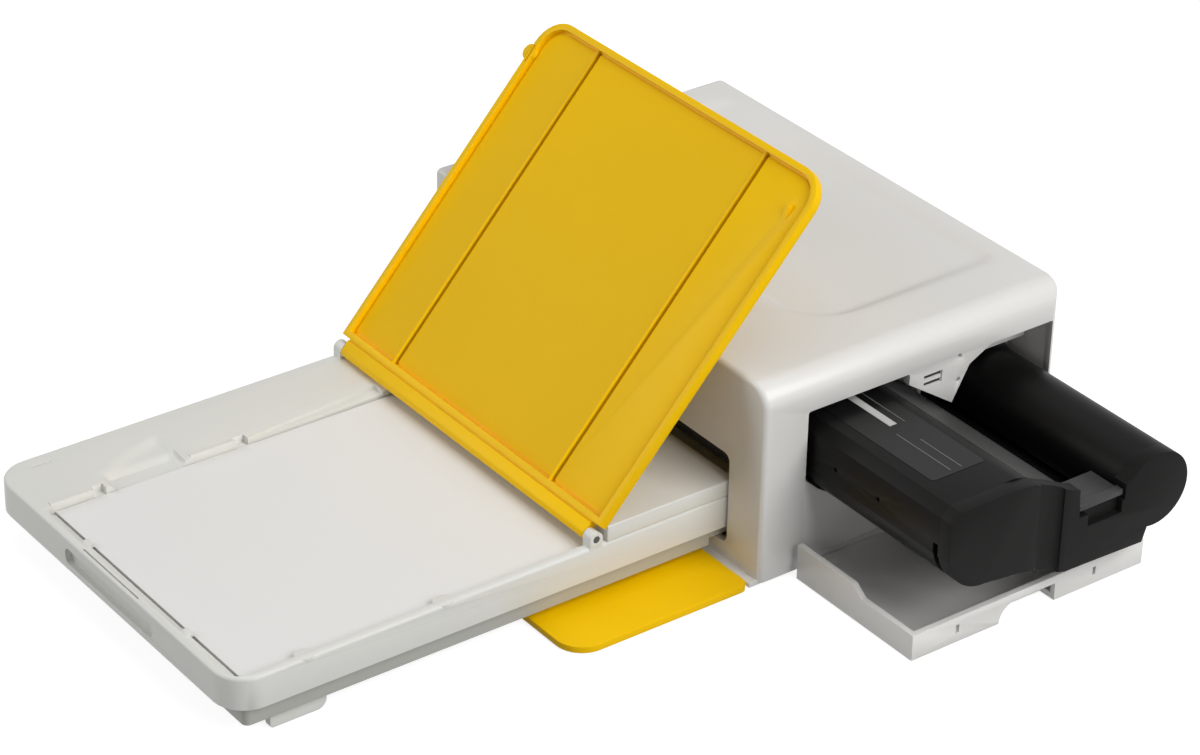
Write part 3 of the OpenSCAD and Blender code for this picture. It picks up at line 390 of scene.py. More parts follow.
finishes = {
    "caseWhite": moulding("caseWhite", (0.73, 0.72, 0.695), 0.34, grain=0.12, coat=0.15, cloud=0.012),
    "trayWhite": moulding("trayWhite", (0.70, 0.698, 0.662), 0.42, grain=0.2, cloud=0.012),
    "trayGrey": moulding("trayGrey", (0.43, 0.43, 0.395), 0.5, grain=0.3, cloud=0.015),
    "panelGrey": moulding("panelGrey", (0.66, 0.65, 0.62), 0.55, grain=0.4, cloud=0.02),
    "coverYellow": moulding("coverYellow", (0.95, 0.57, 0.0), 0.42, grain=0.15, cloud=0.02, gloss=0.12),
    # darker yellow, painted shade for the lid's rib grooves
    "ribGroovePaintedShade": moulding("ribGroovePaintedShade", (0.6, 0.33, 0.0), 0.5, grain=0.15, cloud=0.03, gloss=0.1),
    "cartridgeBlack": moulding("cartridgeBlack", (0.005, 0.005, 0.0048), 0.4, grain=0.35, cloud=0.15, gloss=0.1),
    "cartridgeGrey": moulding("cartridgeGrey", (0.0075, 0.0075, 0.0072), 0.5, grain=0.4, cloud=0.12, gloss=0.08),
    # lighter grey, painted light on the upper part of the cartridge's flank
    "flankPaintedLight": moulding("flankPaintedLight", (0.035, 0.035, 0.034), 0.5, grain=0.5, cloud=0.1, gloss=0.2),
    "labelFilm": moulding("labelFilm", (0.006, 0.006, 0.006), 0.3, grain=0.05, cloud=0.1, gloss=0.2),
    "labelPrint": moulding("labelPrint", (0.5, 0.5, 0.48), 0.4, grain=0.05, cloud=0.05, gloss=0.2),
    "labelRule": moulding("labelRule", (0.14, 0.14, 0.135), 0.4, grain=0.05, cloud=0.05, gloss=0.2),
    "latchGrey": moulding("latchGrey", (0.03, 0.03, 0.03), 0.42, grain=0.3, cloud=0.1, gloss=0.3),
    "spoolBlack": moulding("spoolBlack", (0.02, 0.02, 0.022), 0.3, grain=0.1),
    "filmDark": moulding("filmDark", (0.012, 0.011, 0.013), 0.12, grain=0.02, coat=0.6),
    "paperWhite": moulding("paperWhite", (0.77, 0.765, 0.75), 0.3, grain=0.04, cloud=0.008, coat=0.35, swing=0.04),
    "footRubber": moulding("footRubber", (0.03, 0.03, 0.031), 0.8, grain=0.8, cloud=0.1),
    "rollerRubber": moulding("rollerRubber", (0.035, 0.035, 0.036), 0.72, grain=0.9, cloud=0.12),
    "beltRubber": moulding("beltRubber", (0.012, 0.012, 0.012), 0.7, grain=0.6),
    "gearNylon": moulding("gearNylon", (0.76, 0.73, 0.62), 0.45, grain=0.2),
    "boardGreen": moulding("boardGreen", (0.012, 0.12, 0.045), 0.3, grain=0.3, cloud=0.15, coat=0.4),
    "socketBlack": moulding("socketBlack", (0.012, 0.012, 0.012), 0.5, grain=0.4),
    "heaterGlaze": moulding("heaterGlaze", (0.06, 0.045, 0.035), 0.2, grain=0.1, coat=0.5),
    "frameSteel": metalSheet("frameSteel", (0.62, 0.63, 0.64), 0.4),
    "pinDark": metalSheet("pinDark", (0.1, 0.1, 0.105), 0.45, (1, 60, 60)),
    "pinSteel": metalSheet("pinSteel", (0.68, 0.68, 0.69), 0.25, (1, 60, 60)),
    "motorSteel": metalSheet("motorSteel", (0.5, 0.5, 0.51), 0.35, (1, 30, 30)),
    "headAluminium": metalSheet("headAluminium", (0.72, 0.73, 0.74), 0.38, (1, 50, 50)),
    "pinionBrass": metalSheet("pinionBrass", (0.75, 0.55, 0.22), 0.3),
}
finishNodes = {
    "caseWhite": ("outer_cover", "bay_sill", "door_catch", "power_button", "side_door"),
    "panelGrey": ("base_plate", "rear_panel"),
    "footRubber": ("rubber_feet",),
    "rollerRubber": ("platen_roller", "feed_roller", "pickup_roller"),
    "beltRubber": ("pickup_belt",),
    "frameSteel": ("left_frame", "right_frame", "gear_bracket", "head_guide", "lift_plate"),
    "pinSteel": ("case_screws", "usb_socket", "pinch_roller", "front_cover_pins", "side_door_pins", "lift_spring"),
    "pinDark": ("lid_pins",),
    "motorSteel": ("motor",),
    "pinionBrass": ("motor_pinion",),
    "gearNylon": ("main_gear", "link_gear", "platen_gear", "feed_gear", "ribbon_gear", "takeup_hub"),
    "boardGreen": ("control_board",),
    "socketBlack": ("power_socket",),
    "headAluminium": ("thermal_head",),
    "heaterGlaze": ("heater_strip",),
    "coverYellow": ("front_cover", "tray_lid"),
    "trayGrey": ("tray_base",),
    "trayWhite": ("tray_frame", "tray_rear_cover", "tray_leg_right", "tray_leg_left"),
    "paperWhite": ("photo_paper",),
    "cartridgeBlack": ("supply_housing", "takeup_housing", "cartridge_cap"),
    "latchGrey": ("cartridge_latch",),
    "spoolBlack": ("supply_spool", "takeup_spool"),
    "filmDark": ("ribbon_film",),
}
for finishName, names in finishNodes.items():
    for name in names:
        nodes[name].data.materials.clear()
        nodes[name].data.materials.append(finishes[finishName])
print("finishes made")


def ease(t):
    t = max(0.0, min(1.0, t))
    return t * t * (3 - 2 * t)


# the printer's case; rounds and walls in mm, outlines as pairs of y and z
shell = {
    "halfWidth": 82.75, "depth": bodyDepth, "height": 65.4, "foot": 1, "wall": 2.5, "topWall": 4.6,
    "topRound": 7.5, "leftRound": 2.2, "frontRound": 1.8, "rearRound": 3.5,
    "roomRounds": ((1, 5), (-1, 1.5)), "outboard": 70, "edges": 0.3,
    "mouth": {"half": 67.2, "low": 6.6, "high": 36.6, "round": 2.5},
    "bay": [(15.5, -1), (15.5, 53.4), (53, 53.4), (53, 49.7), (70, 38.2),
            (76, 49.2), (84, 53.4), (108.4, 53.4), (108.4, -1)],
    "bayRound": 0.8, "bayTop": 52, "bayRib": ((70.25, 71.45), (82, 107.9), (43.3, 60.9)),
    "window": (58.5, 65.5, 46.8, 50.8), "gauge": {"y": 72, "heights": (45.2, 53.2), "radius": 0.8},
    "button": {"x": -62, "y": 12, "radius": 4.3, "z": (50, 70)},
    "sill": [(15.6, 2.3), (15.6, 29), (17.2, 29), (19.3, 27.2), (22, 24.6), (25, 22.7), (28, 21.8), (31, 21.5),
             (44, 20), (52, 18), (57, 15), (63, 13.6), (92, 12.9), (93.5, 17.2), (107.9, 17.2), (107.9, 2.3)],
    "sillFace": 79.85, "sillFoot": (79.9, (15.7, 107.8), (0.6, 2.6)),
    "lip": {"x": (54.1, 82.0), "y": (-2.9, 1), "z": (0.45, 1.7), "round": 0.6},
    "lug": {"x": 50.3, "width": 3.4, "y": (-3.1, 0.5), "z": (0.4, 2.6), "round": 1},
    "posts": [(-77.95, 8), (77.95, 8), (-77.95, 103)], "post": (3, (3.6, 30)), "bore": (1.3, (3, 11)),
}
dish = {
    "left": -71.5, "right": 62, "front": 31.5, "back": 107, "deep": 3.2, "shallow": 0.3,
    "round": 20, "rearRound": 7, "fade": 6, "step": 1.6, "margin": 2,
}


# deepest at the front, with a soft wall all round
def dishSink(x, y):
    d = dish
    cx = (d["left"] + d["right"]) / 2
    cy = (d["front"] + d["back"]) / 2
    r = d["round"] if y < cy else d["rearRound"]
    dx = abs(x - cx) - ((d["right"] - d["left"]) / 2 - r)
    dy = abs(y - cy) - ((d["back"] - d["front"]) / 2 - r)
    inside = r - math.hypot(max(dx, 0), max(dy, 0)) if max(dx, dy) > 0 else r - max(dx, dy)
    reach = max(0, (d["back"] - y) / (d["back"] - d["front"]))
    fall = d["deep"] * (d["shallow"] + (1 - d["shallow"]) * reach)
    return fall * ease(inside / d["fade"])


# the lengthways top edge of one side of a box: 1 is the right side, -1 the left
def topSide(turn, above):
    def test(edge):
        outer = turn * (middle(edge).x - zeroX) > shell["outboard"] * mm
        return along(edge, 1) and middle(edge).z > above * mm and outer
    return test


def makeShell():
    s = shell
    w, d, h = s["halfWidth"], s["depth"], s["height"]
    frontY = at(0, 0, 0).y
    case = newBox("printer_cover", (-w, w), (0, d), (s["foot"], h))
    for turn, r in ((1, s["topRound"]), (-1, s["leftRound"])):
        roundEdges(case, topSide(turn, h - 1), r, 14)
    lowest = (s["foot"] + 0.1) * mm
    roundEdges(case, lambda e: all(v.co.y < frontY + touch * mm for v in e.verts) and middle(e).z > lowest,
               s["frontRound"], 5)
    m = dish["margin"]
    sinkTop(case, (dish["left"] - m, dish["front"] - m), (dish["right"] + m, dish["back"] + m), h,
            dish["step"], dishSink)
    r = s["rearRound"]
    for side, start in ((1, 0), (-1, 180)):
        curve = arc(side * (w - r), d - r, r, start, 90)
        outline = curve + [(side * (w - r), d + past), (side * (w + past), d + past), (side * (w + past), d - r)]
        carve(case, slab("rearCorner", outline, -1, h + 2))
    room = newBox("room", (s["wall"] - w, w - s["wall"]), (s["wall"], d + 5), (-5, h - s["topWall"]))
    for turn, r in s["roomRounds"]:
        roundEdges(room, topSide(turn, h - 8), r, 10)
    m = s["mouth"]
    mouth = newBox("mouth", (-m["half"], m["half"]), (-3, s["wall"] + 3), (m["low"], m["high"]))
    roundEdges(mouth, lambda e: along(e, 1), m["round"], 5)
    carve(case, room, mouth)
    inside = w - s["wall"] - 1
    bay = newPrism("bay", [at(inside, y, z) for y, z in s["bay"]], (5 * mm, 0, 0))
    roundEdges(bay, lambda e: along(e, 0) and middle(e).z > s["bayTop"] * mm, s["bayRound"], 3)
    y0, y1, z0, z1 = s["window"]
    carve(case, bay, newBox("window", (inside, w + 2), (y0, y1), (z0, z1)))
    g = s["gauge"]
    for z in g["heights"]:
        carve(case, newRod("gauge", at(inside, g["y"], z), at(w + 2, g["y"], z), g["radius"], 24))
    b = s["button"]
    carve(case, newRod("buttonHole", *(at(b["x"], b["y"], z) for z in b["z"]), b["radius"]))
    x, ys, zs = s["sillFoot"]
    weld(case, newPrism("sillFace", [at(s["sillFace"], y, z) for y, z in s["sill"]], (1 * mm, 0, 0)),
         newBox("sillFoot", (x, w - 0.01), ys, zs))
    for side in (-1, 1):
        p = s["lip"]
        lip = newBox("lip", mirrored(side, *p["x"]), p["y"], p["z"])
        roundEdges(lip, lambda e: along(e, 0) and middle(e).y < frontY - 1 * mm and middle(e).z > 1 * mm,
                   p["round"], 3)
        weld(case, lip)
    weld(case, newBox("bayRib", *s["bayRib"]))
    for side in (-1, 1):
        p = s["lug"]
        lug = newBox("lug", mirrored(side, p["x"], p["x"] + p["width"]), p["y"], p["z"])
        roundEdges(lug, lambda e: along(e, 0) and middle(e).y < frontY - 1 * mm, p["round"], 4)
        weld(case, lug)
    for x, y in s["posts"]:
        r, (low, high) = s["post"]
        weld(case, newRod("post", at(x, y, low), at(x, y, high), r, 32))
        r, (low, high) = s["bore"]
        carve(case, newRod("bore", at(x, y, low), at(x, y, high), r, 24))
    return soften(case, s["edges"])


finish(makeShell(), "printer", "caseWhite", "case_white", "outer_cover")
shades = {"x": (79.2, 79.95), "rim": 0.7, "play": 0.03, "step": 0.2, "out": 1.75}


# dark plates and stubs that close the window and the gauge holes from behind, painted shade that keeps the holes dark
def makeShades():
    s, g = shades, shell["gauge"]
    x0, x1 = s["x"]
    y0, y1, z0, z1 = shell["window"]
    rim, play = s["rim"], s["play"]
    plate = newBox("bay_shades", (x0, x1), (y0 - rim, y1 + rim), (z0 - rim, z1 + rim))
    weld(plate, newBox("core", (x0 + s["step"], x1 + s["out"]), (y0 + play, y1 - play), (z0 + play, z1 - play)))
    for z in g["heights"]:
        stub = newRod("stub", at(x0, g["y"], z), at(x1 + s["out"], g["y"], z), g["radius"] - play, 24)
        weld(plate, stub)
    return plate


# the black finish on these plates is painted shade inside the holes
finish(makeShades(), "printer", "socketBlack", "socket_black")


# plan of a tray or lid: two rounded corners at the front, square at the back
def tonguePlan(half, front, back, r):
    return [(half, back), (-half, back)] + arc(r - half, front + r, r, 180, 270) + arc(half - r, front + r, r, 270, 360)


# the paper tray's upper moulding
tray = {
    "half": 66.3, "front": -166.3, "back": 20, "round": 10, "top": 22.4, "seam": 12, "edge": 1.2, "edges": 0.22,
    "well": {"left": -39.3, "right": 63.7, "front": -163.9, "back": 17.5, "round": 4, "low": 5},
    "gateLow": 20, "underWall": 2.5, "underHigh": 17.8,
    "ledge": (-161.8, 18.2, 21.0), "tabs": (-18, 36), "tab": {"half": 1.6, "reach": 1.1, "sunk": 0.5, "rise": 0.7},
    "notches": [(-147.2, -143.6), (-99.9, -96.0)], "notch": (2.6, 2.4),
    "wedge": {"y": (-95.5, -48.5), "wide": 4.4, "narrow": 0.2, "deep": 1.1},
    "lips": [(-161.6, -147.6), (-115.3, -99.9)], "lip": {"width": 1.7, "foot": 3, "rise": 0.45, "round": 0.4},
    "fingers": [(-142, 3.0), (-96.9, 3.1)], "finger": {"reach": 2.6, "out": 0.2, "z": (1.3, 0.15)},
    "dash": ((-61.2, -60.6), (-155.5, -149.6)), "dashDeep": 0.9,
    "recess": ((-23.5, 24.5), (14, 19)), "recessDeep": 1.8, "recessRound": 2,
    "groove": ((-14.7, 15.7), (0.95, 1.5)), "grooveDeep": 0.7,
    "ear": {"y": -46.3, "z": 24.6, "width": 3.6, "radius": 2.2, "foot": 3, "hole": 1.12},
}
scoop = {
    "left": -57, "front": -142.5, "back": -116.6, "deep": 2.7, "step": 1.2, "crest": -47.2,
    "curve": 0.38, "edgeFade": 3.5, "crestFade": 1.8, "frontFade": 0.12, "backFade": 2.4,
}


# thumb scoop: opens towards the paper, with a steep end and a crest along its middle
def scoopSink(x, y):
    s, left = scoop, tray["well"]["left"]
    share = max(0, (y - s["front"]) / (s["back"] - s["front"]))
    edge = left - (left - s["left"]) * share ** s["curve"]
    slope = 0.5 * ease((x - edge) / s["edgeFade"]) + 0.5 * ease((x - s["crest"]) / s["crestFade"])
    return s["deep"] * slope * ease(share / s["frontFade"]) * ease((s["back"] - y) / s["backFade"])


def makeTrayTop():
    t = tray
    top = t["top"]
    body = slab("tray_top", tonguePlan(t["half"], t["front"], t["back"], t["round"]), t["seam"], top)
    backY = at(0, t["back"], 0).y
    roundEdges(body, lambda e: all(v.co.z > (top - 0.1) * mm for v in e.verts) and middle(e).y < backY - 1 * mm,
               t["edge"], 5)
    left, right, front, back = (t["well"][key] for key in ("left", "right", "front", "back"))
    centre, half = (left + right) / 2, (right - left) / 2
    plan = [(x + centre, y) for x, y in tonguePlan(half, front, back, t["well"]["round"])]
    low = t["well"]["low"]
    carve(body, slab("well", plan, low, top + 5),
          newBox("gate", (left + 2, right - 1), (back - past, t["back"] + past), (t["gateLow"], top + 5)),
          newBox("under", (t["underWall"] - t["half"], left - 2), (front + t["round"], back), (low, t["underHigh"])))
    sinkTop(body, (scoop["left"] - 1.4, scoop["front"] - 0.5), (left, scoop["back"] + 0.7), top,
            scoop["step"], scoopSink)
    ledgeEdge, low, high = t["ledge"]
    weld(body, newBox("ledge", (left + 2.5, right - 3), (front - 0.5, ledgeEdge), (low, high)))
    p = t["tab"]
    for x in t["tabs"]:
        weld(body, newBox("tab", (x - p["half"], x + p["half"]), (front - 0.8, ledgeEdge + p["reach"]),
                          (high - p["sunk"], high + p["rise"])))
    for ys in t["notches"]:
        width, deep = t["notch"]
        carve(body, newBox("notch", (left - width, left + past), ys, (top - deep, top + past)))
    p = t["wedge"]
    (y0, y1), low = p["y"], top - p["deep"]
    carve(body, newPrism("wedge", [at(left + 0.5, y0, low), at(left + 0.5, y1, low), at(left - p["wide"], y1, low),
                                   at(left - p["narrow"], y0, low)], (0, 0, 3 * mm)))
    p = t["lip"]
    for ys in t["lips"]:
        lip = newBox("lip", (left - p["width"], left - 0.02), ys, (top - p["foot"], top + p["rise"]))
        roundEdges(lip, lambda e: middle(e).z > (top + p["rise"] - 0.1) * mm, p["round"], 3)
        weld(body, lip)
    p = t["finger"]
    for y, r in t["fingers"]:
        finger = newRod("finger", *(at(0, y, top - low) for low in p["z"]), r, 40)
        there = Matrix.Translation(((right + p["out"]) * mm + zeroX, 0, 0))
        narrow = Matrix.Scale(p["reach"] / r, 4, (1, 0, 0))
        finger.data.transform(there @ narrow @ Matrix.Translation((-zeroX, 0, 0)))
        weld(body, finger)
    carve(body, newBox("dash", *t["dash"], (top - t["dashDeep"], top + past)))
    slot = newBox("slot", t["recess"][0], (t["front"] - 2, t["front"] + t["recessDeep"]), t["recess"][1])
    roundEdges(slot, lambda e: along(e, 1), t["recessRound"], 5)
    xs, (y0, y1) = t["groove"]
    carve(body, slot, newBox("groove", xs, (t["front"] + y0, t["front"] + y1), (top - t["grooveDeep"], top + past)))
    p = t["ear"]
    y, z, r = p["y"], p["z"], p["radius"]
    for turn in (-1, 1):
        x0, x1 = mirrored(turn, t["half"], t["half"] - p["width"])
        ear = newRod("ear", at(x0, y, z), at(x1, y, z), r, 40)
        weld(body, ear, newBox("earFoot", (x0 + 0.001, x1 - 0.001), (y - r, y + r), (top - p["foot"], z)))
        carve(body, newRod("pinHole", at(x0 - past, y, z), at(x1 + past, y, z), p["hole"], 24))
    return soften(body, t["edges"])


finish(makeTrayTop(), "tray", "trayWhite", "tray_white", "tray_frame")
legs = {"lowest": 0.6, "middle": -142, "nearRound": 1.2, "farRound": 3.0, "edges": 0.4}


def makeLeg(word):
    leg = copyNode("tray_leg_" + word, word + "_leg")
    for far, r in ((False, legs["nearRound"]), (True, legs["farRound"])):
        roundEdges(leg, lambda e: along(e, 0) and middle(e).z < legs["lowest"] * mm
                   and (drawn(middle(e))[1] > legs["middle"]) == far, r, 6)
    return soften(leg, legs["edges"], 3)


for word in ("right", "left"):
    finish(makeLeg(word), "leg_" + word, "trayWhite", "tray_white", "tray_leg_" + word)

supplyCase = {"holes": (93.4, 112.2), "holeZ": 39, "holeRadius": 0.7, "slot": ((136.0, 138.6), (15, 21.5), (24, 37.5))}
capChannel = {"span": ((141.9, 144), (50, 59.5), (8, 52)), "inner": 143, "round": 1}
flapEdge = {"hinge": -3.4, "half": 80, "near": 1, "round": 3}
hood = {"above": 25, "rise": 1.4}


# the near side of the ribbon case: two small holes and the open slot beside the end cap
def shapeSupply(case):
    s = supplyCase
    for x in s["holes"]:
        carve(case, newRod("hole", at(x, 15, s["holeZ"]), at(x, 21, s["holeZ"]), s["holeRadius"], 24))
    carve(case, newBox("capSlot", *s["slot"]))


# a shallow upright channel between the two lobes of the end cap
def shapeCap(cap):
    channel = newBox("channel", *capChannel["span"])
    inner = at(capChannel["inner"], 0, 0).x
    roundEdges(channel, lambda e: along(e, 2) and middle(e).x < inner, capChannel["round"], 5)
    carve(cap, channel)


# rounds the two corners of the flap beside its hinge
def shapeFlap(flap):
    hinge, half, near = at(0, flapEdge["hinge"], 0).y, flapEdge["half"] * mm, flapEdge["near"] * mm
    roundEdges(flap, lambda e: along(e, 2) and abs(middle(e).y - hinge) < near and abs(middle(e).x - zeroX) > half,
               flapEdge["round"], 8)


def shapeHood(cover):
    for corner in cover.data.vertices:
        if drawn(corner.co)[2] > hood["above"]:
            corner.co.z += hood["rise"] * mm


# node, name, body, finish, slot, softened edge, further shaping
for node, name, body, finishName, slotName, width, reshape in (
        ("tray_base", "tray_bottom", "tray", "trayGrey", "tray_grey", 0.5, None),
        ("tray_rear_cover", "tray_hood", "tray", "trayWhite", "tray_white", 0.35, shapeHood),
        ("front_cover", "open_flap", "front_flap", "coverYellow", "cover_yellow", 0.5, shapeFlap),
        ("supply_housing", "supply_case", "cartridge", "cartridgeBlack", "cartridge_black", 0.5, shapeSupply),
        ("takeup_housing", "takeup_case", "cartridge", "cartridgeBlack", "cartridge_black", 0.4, None),
        ("cartridge_cap", "cartridge_end", "cartridge", "cartridgeGrey", "cartridge_black", 0.7, shapeCap),
        ("cartridge_latch", "cartridge_latch_bar", "latch", "latchGrey", "latch_grey", 0.25, None),
        ("power_button", "power_key", "button", "caseWhite", "case_white", 0.4, None)):
    piece = copyNode(node, name)
    if reshape:
        reshape(piece)
    finish(soften(piece, width, 3), body, finishName, slotName, node)

# the tray's lid, drawn lying open-side up with its hinge at zero
lid = {
    "half": 66.1, "front": -120, "neck": -3.7, "low": -2.0, "high": 1.4, "round": 10, "edge": 0.6, "edges": 0.2,
    "rim": 2.0, "gutter": 1.0, "gutterDeep": 0.5, "panel": -0.6, "seam": 0.6,
    "ribs": (-40.6, 40), "rib": {"half": 0.6, "deep": 0.7, "bead": 0.7, "sunk": 0.55, "rise": 0.3},
    "barrelHalf": 62.4, "barrel": 2.0, "pin": 1.15, "pinDeep": 5,
    "lug": {"y": -106.6, "radius": 2.6}, "lugSlot": ((0.5, 1.2), (2.6, 3.4), 1.4),
    "clip": {"x": 57.6, "width": 1.6, "y": (-108.8, -107.6, -103.6), "sunk": 1.3, "rise": 0.2},
    "open": 132, "axis": (-46.3, 24.6),
}


def flat(x, y, z):
    return Vector((x, y, z)) * mm


def makeLid():
    t = lid
    low, high, panel = t["low"], t["high"], t["panel"]
    half, front, neck = t["half"], t["front"], t["neck"]

    def inset(d):
        return tonguePlan(half - d, front + d, neck - d, t["round"] - d)

    pan = slab("lid_pan", inset(0), low, high, flat)
    roundEdges(pan, lambda e: all(v.co.z > (high - 0.1) * mm for v in e.verts), t["edge"], 3)
    carve(pan, slab("pocket", inset(t["rim"]), low - 1, panel, flat))
    ring = slab("gutter", inset(t["rim"]), panel - 1, panel + t["gutterDeep"], flat)
    carve(ring, slab("gutterCore", inset(t["rim"] + t["gutter"]), panel - 2, panel + 2, flat))
    carve(pan, ring)
    r = t["rib"]
    for x in t["ribs"]:
        carve(pan, newBox("ribGroove", (x - r["half"], x + r["half"]), (front + 2.5, neck - 2.2),
                          (panel - past, panel + r["deep"]), flat))
        weld(pan, newBox("rib", (x - r["half"] - r["bead"], x - r["half"]), (front + 1.5, neck - 1.5),
                         (panel - r["sunk"], panel + r["rise"]), flat))
    b = t["barrelHalf"]
    strip = newBox("strip", (-b, b), (neck - 0.5, 0), (low + 0.02, high - 0.5), flat)
    weld(pan, strip, newRod("barrel", flat(-b, 0, 0), flat(b, 0, 0), t["barrel"], 40))
    carve(pan, newBox("seam", (-half - 1, half + 1), (neck, neck + t["seam"]), (low - 1, low + 0.5), flat))
    y, r = t["lug"]["y"], t["lug"]["radius"]
    weld(pan, newRod("lug", flat(-half, y, low + 0.3), flat(-half, y, high - 0.9), r, 32))
    xs, (near, far), deep = t["lugSlot"]
    carve(pan, newBox("lugSlot", (-half + xs[0], -half + xs[1]), (y - near, y + far), (low - 1, low + deep), flat))
    for turn in (-1, 1):
        x0, x1 = mirrored(turn, b - t["pinDeep"], b + past)
        carve(pan, newRod("pinHole", flat(x0, 0, 0), flat(x1, 0, 0), t["pin"], 24))
    c = t["clip"]
    near, slant, far = c["y"]
    foot, tip = panel + c["rise"], panel - c["sunk"]
    outline = [flat(c["x"], y, z) for y, z in ((near, foot), (far, foot), (slant, tip), (near, tip))]
    weld(pan, newPrism("clip", outline, (c["width"] * mm, 0, 0)))
    soften(pan, t["edges"])
    y, z = t["axis"]
    pan.matrix_world = Matrix.Translation(at(0, y, z)) @ Matrix.Rotation(math.radians(-t["open"]), 4, "X")
    only(pan)
    bpy.ops.object.transform_apply(location=True, rotation=True, scale=True)
    return pan


# painted shade: the faces in the ribs' grooves take a darker yellow finish that stands in for the shade in the grooves
def paintRibGrooveShade(piece):
    piece.data.materials.append(finishes["ribGroovePaintedShade"])
    y, z = lid["axis"]
    shut = Matrix.Rotation(math.radians(lid["open"]), 4, "X") @ Matrix.Translation(-at(0, y, z))
    for face in piece.data.polygons:
        x, y, z = (shut @ face.center) / mm
        inGroove = any(abs(x - rib) < lid["rib"]["half"] + 0.02 for rib in lid["ribs"])
        if inGroove and lid["panel"] + 0.1 < z < lid["high"] - 0.3:
            face.material_index = 1


paintRibGrooveShade(finish(makeLid(), "lid", "coverYellow", "cover_yellow", "tray_lid"))

# the cartridge's label with its print left plain, and a lighter grey stripe along the ridge, painted light on the
# flank's upper part
label = {
    "x": (60, 126.3), "y": (24.5, 43.8), "z": (49.4, 49.62), "round": 1.2, "thick": 0.1, "sunk": 0.05,
    "bar": (76, 97, 33.6, 36.2), "rules": [(76, 97.3, 38.9), (101.5, 124.6, 32.4), (107.4, 124.9, 36.2)], "rule": 0.3,
}
stripe = {
    "x": (16, 137.6), "span": (0.5, 20.5), "thick": 0.12, "sunk": 0.1,
    "ridge": (48, 48.5), "down": (0.856, -0.518),
}


def makeLabel():
    t = label
    z0, z1 = t["z"]
    film = newBox("label_film", t["x"], t["y"], t["z"])
    roundEdges(film, lambda e: along(e, 2), t["round"], 5)
    bars = [t["bar"]] + [(a, b, y - t["rule"] / 2, y + t["rule"] / 2) for a, b, y in t["rules"]]
    bar, *rules = [newBox("label_print", (a, b), (c, d), (z1 - t["sunk"], z1 + t["thick"])) for a, b, c, d in bars]
    return film, bar, weld(*rules)


# the stripe is painted light: a lighter grey band where the flank catches the light
def makeStripe():
    s = stripe
    x0, x1 = s["x"]
    near, far = s["span"]
    (y, z), (dy, dz) = s["ridge"], s["down"]
    corners = ((near, -s["sunk"]), (far, -s["sunk"]), (far, s["thick"]), (near, s["thick"]))
    outline = [at(x0, y + dy * a - dz * b, z + dz * a + dy * b) for a, b in corners]
    return newPrism("flank_stripe", outline, ((x1 - x0) * mm, 0, 0))


for piece, finishName in zip((*makeLabel(), makeStripe()), ("labelFilm", "labelPrint", "labelRule", "flankPaintedLight")):
    finish(piece, "cartridge", finishName, "cartridge_black")

# the side door, a little shorter than its node, with the strip beside its hinge
door = {"short": 8.8, "farFrom": 104, "strip": ((83.35, 86), (31.4, 88), (0.45, 2.15)), "edges": 0.45}


def makeDoor():
    leaf = copyNode("side_door", "open_door")
    for corner in leaf.data.vertices:
        if drawn(corner.co)[1] > door["farFrom"]:
            corner.co.y -= door["short"] * mm
    weld(leaf, newBox("strip", *door["strip"]))
    return soften(leaf, door["edges"], 3)


finish(makeDoor(), "door", "caseWhite", "case_white", "side_door")
print("pieces made")

studio = {
    "floorSize": 12, "floorDrop": 0.05, "floorRough": 0.9, "floorTones": (0.3, 0.34), "floorGlow": 0.85,
    "sky": (0.97, 0.985, 1.0, 1), "skyStrength": 0.14, "aim": (0, 0, 0.03),
    "lamps": {     # place and size in metres, power in watts
        "overhead": ((0.0, 0.1, 1.15), (1.2, 0.9), 2.85),
        "rightSide": ((1.0, 0.28, 0.86), (0.9, 0.9), 13.8),
        "lowRight": ((0.95, -0.75, 0.42), (0.8, 0.4), 1.3),
        "frontLeft": ((-0.9, -1.0, 0.72), (0.9, 0.6), 7.6),
    },
}


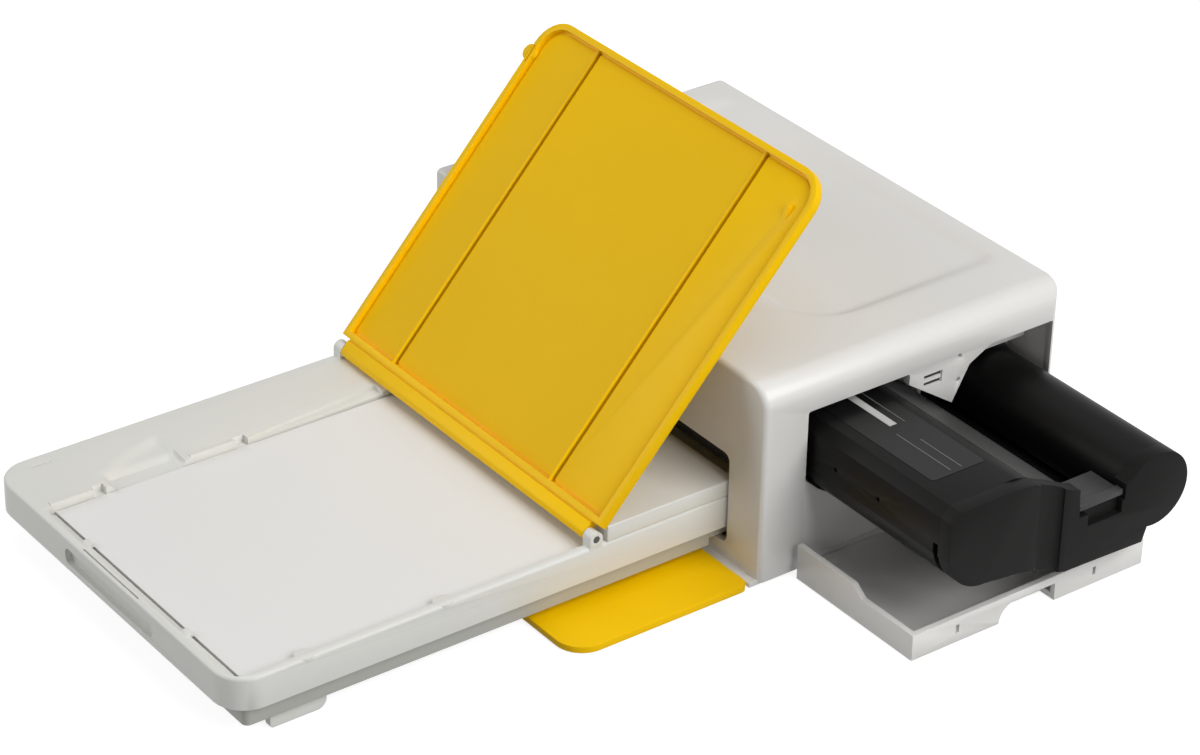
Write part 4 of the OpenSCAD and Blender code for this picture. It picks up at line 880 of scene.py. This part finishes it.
# 1 where the backdrop is looked at, straight on or in a gloss or glass
def lookedAt(tree):
    seen = wireUp(tree, "ShaderNodeLightPath", output="Is Camera Ray")
    for kind in ("Is Glossy Ray", "Is Transmission Ray"):
        seen = seen.maths("MAXIMUM", seen, wireUp(tree, "ShaderNodeLightPath", output=kind))
    return seen


def makeFloor():
    s = studio
    bpy.ops.object.select_all(action="DESELECT")
    bpy.ops.mesh.primitive_plane_add(size=s["floorSize"], location=(0, 0, -s["floorDrop"] * mm))
    floor = bpy.context.object
    floor.name = "desk_floor"
    material, tree, surface = bare("floorPaper")
    seen = lookedAt(tree)
    lit, plain = ((tone, tone, tone, 1) for tone in s["floorTones"])
    mixColour(tree, seen, lit, plain).into(surface.inputs["Base Color"])
    surface.inputs["Roughness"].default_value = s["floorRough"]
    surface.inputs["Emission Color"].default_value = (1, 1, 1, 1)
    (seen * s["floorGlow"]).into(surface.inputs["Emission Strength"])
    floor.data.materials.append(material)
    return floor


makeFloor()


def makeWorld():
    world = bpy.data.worlds.new("studio")
    bpy.context.scene.world = world
    world.use_nodes = True
    tree = world.node_tree
    soft = tree.nodes["Background"]
    soft.inputs["Color"].default_value = studio["sky"]
    soft.inputs["Strength"].default_value = studio["skyStrength"]
    back = wireUp(tree, "ShaderNodeBackground", {}, {"Color": (1, 1, 1, 1), "Strength": 1.0})
    inputs = {0: lookedAt(tree), 1: Wire(tree, soft.outputs[0]), 2: back}
    wireUp(tree, "ShaderNodeMixShader", {}, inputs).into(tree.nodes["World Output"].inputs["Surface"])


def softbox(name, place, size, power):
    place, aim = Vector(place), Vector(studio["aim"])
    bpy.ops.object.light_add(type="AREA", location=place)
    lamp = bpy.context.object
    lamp.name = name
    lamp.data.shape = "RECTANGLE"
    lamp.data.size, lamp.data.size_y = size
    lamp.data.energy = power
    lamp.rotation_euler = (aim - place).to_track_quat("-Z", "Y").to_euler()


makeWorld()
for name, (place, size, power) in studio["lamps"].items():
    softbox(name, place, size, power)
bpy.context.scene.view_settings.view_transform = "Standard"
print("floor, backdrop and lamps set")
